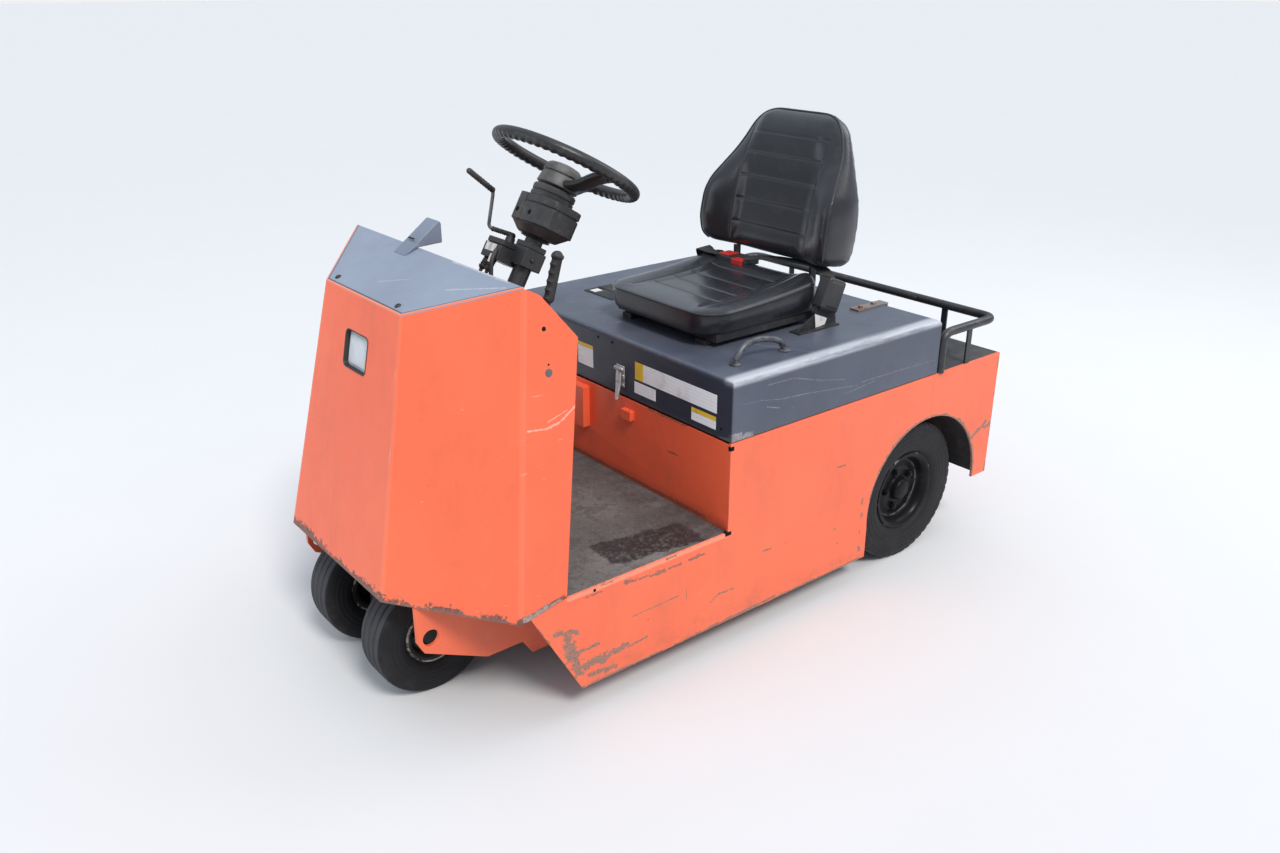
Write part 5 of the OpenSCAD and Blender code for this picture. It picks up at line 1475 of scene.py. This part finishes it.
def back_seams(p):
    """Narrow sewn valleys across and up the backrest's face."""
    d, y, h = on_back(p)
    side = np.abs(y)
    front = np.clip((d - smooth_table(h, middle_face) + 26) / 8, 0, 1)
    cross = on_seams(h, back_cross, 3.0) * np.clip((back_side_seam - side) / 4, 0, 1)
    along = dip(side - back_side_seam, 3.2) * np.clip((h - 14) / 12, 0, 1) * np.clip((348 - h) / 12, 0, 1)
    down = np.maximum(cross, along) * front * 2.0
    return row_of(-down * lean_c, 0, -down * lean_s)


sewn(backrest, back_seams)
fit_out(backrest, seat_vinyl, "hood", "black_vinyl", "seat_back")

# Welts: cord covered in the same vinyl, sewn into the outline seams of the cushion and of the
# backrest.


def laid_on(pad, path, lift):
    """A path moved on to a pad's nearest surface, lifted off it by some millimetres."""
    faces = [tuple(face.vertices) for face in pad.data.polygons]
    tree = BVHTree.FromPolygons([v.co for v in pad.data.vertices], faces)
    laid = []
    for spot in path:
        place, normal, _, _ = tree.find_nearest(at(*spot))
        laid.append((place + normal * lift / 1000 - at(0, 0, 0)) * 1000)
    laid = np.array([tuple(spot) for spot in laid])
    for _ in range(2):
        laid[1:-1] = (laid[:-2] + 2 * laid[1:-1] + laid[2:]) / 4
    return laid


x_run = np.linspace(262, 643, 90)
half_run = cushion_half_width(x_run)
seam_z = smooth_table(x_run, welt_line)
front_edge = np.linspace(half_run[-1], -half_run[-1], 24)[1:-1]
path = np.concatenate([row_of(x_run, seat_y + half_run, seam_z),
                       row_of(645, seat_y + front_edge, seam_z[-1]),
                       row_of(x_run, seat_y - half_run, seam_z)[::-1]])
cushion_line = laid_on(cushion, path, 1.0)
piece("cushion_welt", [sweep(cushion_line, 3.0, 10, up=(0.05, 0.03, 1))], seat_vinyl, "hood",
      "black_vinyl")
h_run = np.linspace(8, 384, 90)
half_run = smooth_table(h_run, width_line) - 2
wing_run = smooth_table(h_run, wing_line) - 15
over = np.linspace(half_run[-1] - 12, 12 - half_run[-1], 16)
path = np.concatenate([row_of(wing_run, half_run, h_run), row_of(wing_run[-1] - 2, over, 392),
                       row_of(wing_run, -half_run, h_run)[::-1]])
back_line = laid_on(backrest, moved((path, []), back_place, back_lean)[0], 1.0)
piece("backrest_welt", [sweep(back_line, 3.0, 10, up=(1, 0.03, 0.2))], seat_vinyl, "hood", "black_vinyl")

# Seat belt: black nylon webbing from a reel on the seat's left side, across the back of the
# cushion to a plastic buckle on a steel stalk with two red release blocks.
webbing_thick = 1.5
reel_place, reel_tilt = (283, 326, 779), -22.8
f = Finish("woven_belt_webbing")
base = f.mix(f.noise(40.0, 4), (0.012, 0.012, 0.013), (0.040, 0.038, 0.037))
webbing_black = f.done(base, 0.72, f.bump(f.bands(210.0, "Y"), 0.4, 0.0004))


def ribbon(points, width, up, bend):
    """Belt webbing along a path eased at its corners: a flat band, wide across its up direction."""
    flatness = 2 * webbing_thick / width
    path = rounded_path(points, bend, 7)
    return sweep(path, width / 2, 20, squash=(1.0, flatness), power=5.0, up=up, dome=False)


lap = ribbon([(236, 320, 835), (226, 306, 858), (214, 262, 868), (204, 180, 862), (218, 110, 860),
              (246, 60, 857), (262, 30, 850)], 42, (0, 0.1, 1), 26)
end_strap = ribbon([(262, -50, 846), (286, -80, 853), (288, -112, 862), (270, -140, 852),
                    (244, -150, 806)], 40, (0.1, -0.3, 1), 22)
piece("belt_webbing", [lap, end_strap], webbing_black, "hood", "black_plastic")
reel_parts = [moved(part, reel_place, reel_tilt)
              for part in (block((-68, -21, 0), (2, 21, 88)), block((-60, -24, 7), (-6, 24, 81)))]
piece("belt_reel", reel_parts, black_moulding, "hood", "black_plastic", ("seat_belt",), edge=9.0,
      segments=4)
bracket = [slab([(230, 790), (285, 782), (288, 760), (240, 738), (205, 760)], 322, 327, "y"),
           slab([(205, 760), (288, 760), (352, 727), (352, 721), (200, 721)], 322, 326, "y"),
           block((205, 306, 721), (359, 344, 725))]
piece("reel_bracket", bracket, seat_steel, "hood", "black_plastic", edge=1.2)
plate = slab([(288, 763), (240, 743), (247, 727), (282, 723)], 327.2, 328.6, "y")
piece("reel_label", [plate], paper, "hood", "black_plastic", edge=0.2, segments=1)
buckle = [block((222, -72, 832), (284, 48, 849.5)), block((232, -30, 741.3), (236, -10, 834))]
piece("belt_buckle", buckle, black_moulding, "hood", "black_plastic", edge=5.0, segments=4)
f = Finish("red_release_plastic")
release_red = f.done(f.mix(f.noise(30.0), (0.62, 0.025, 0.018), (0.42, 0.018, 0.014)), 0.35)
buttons = [block((230, -66, 836), (272, -26, 852.5)), block((262, 4, 834), (290, 44, 850.5))]
piece("buckle_buttons", buttons, release_red, "hood", "red_lens", edge=2.0)
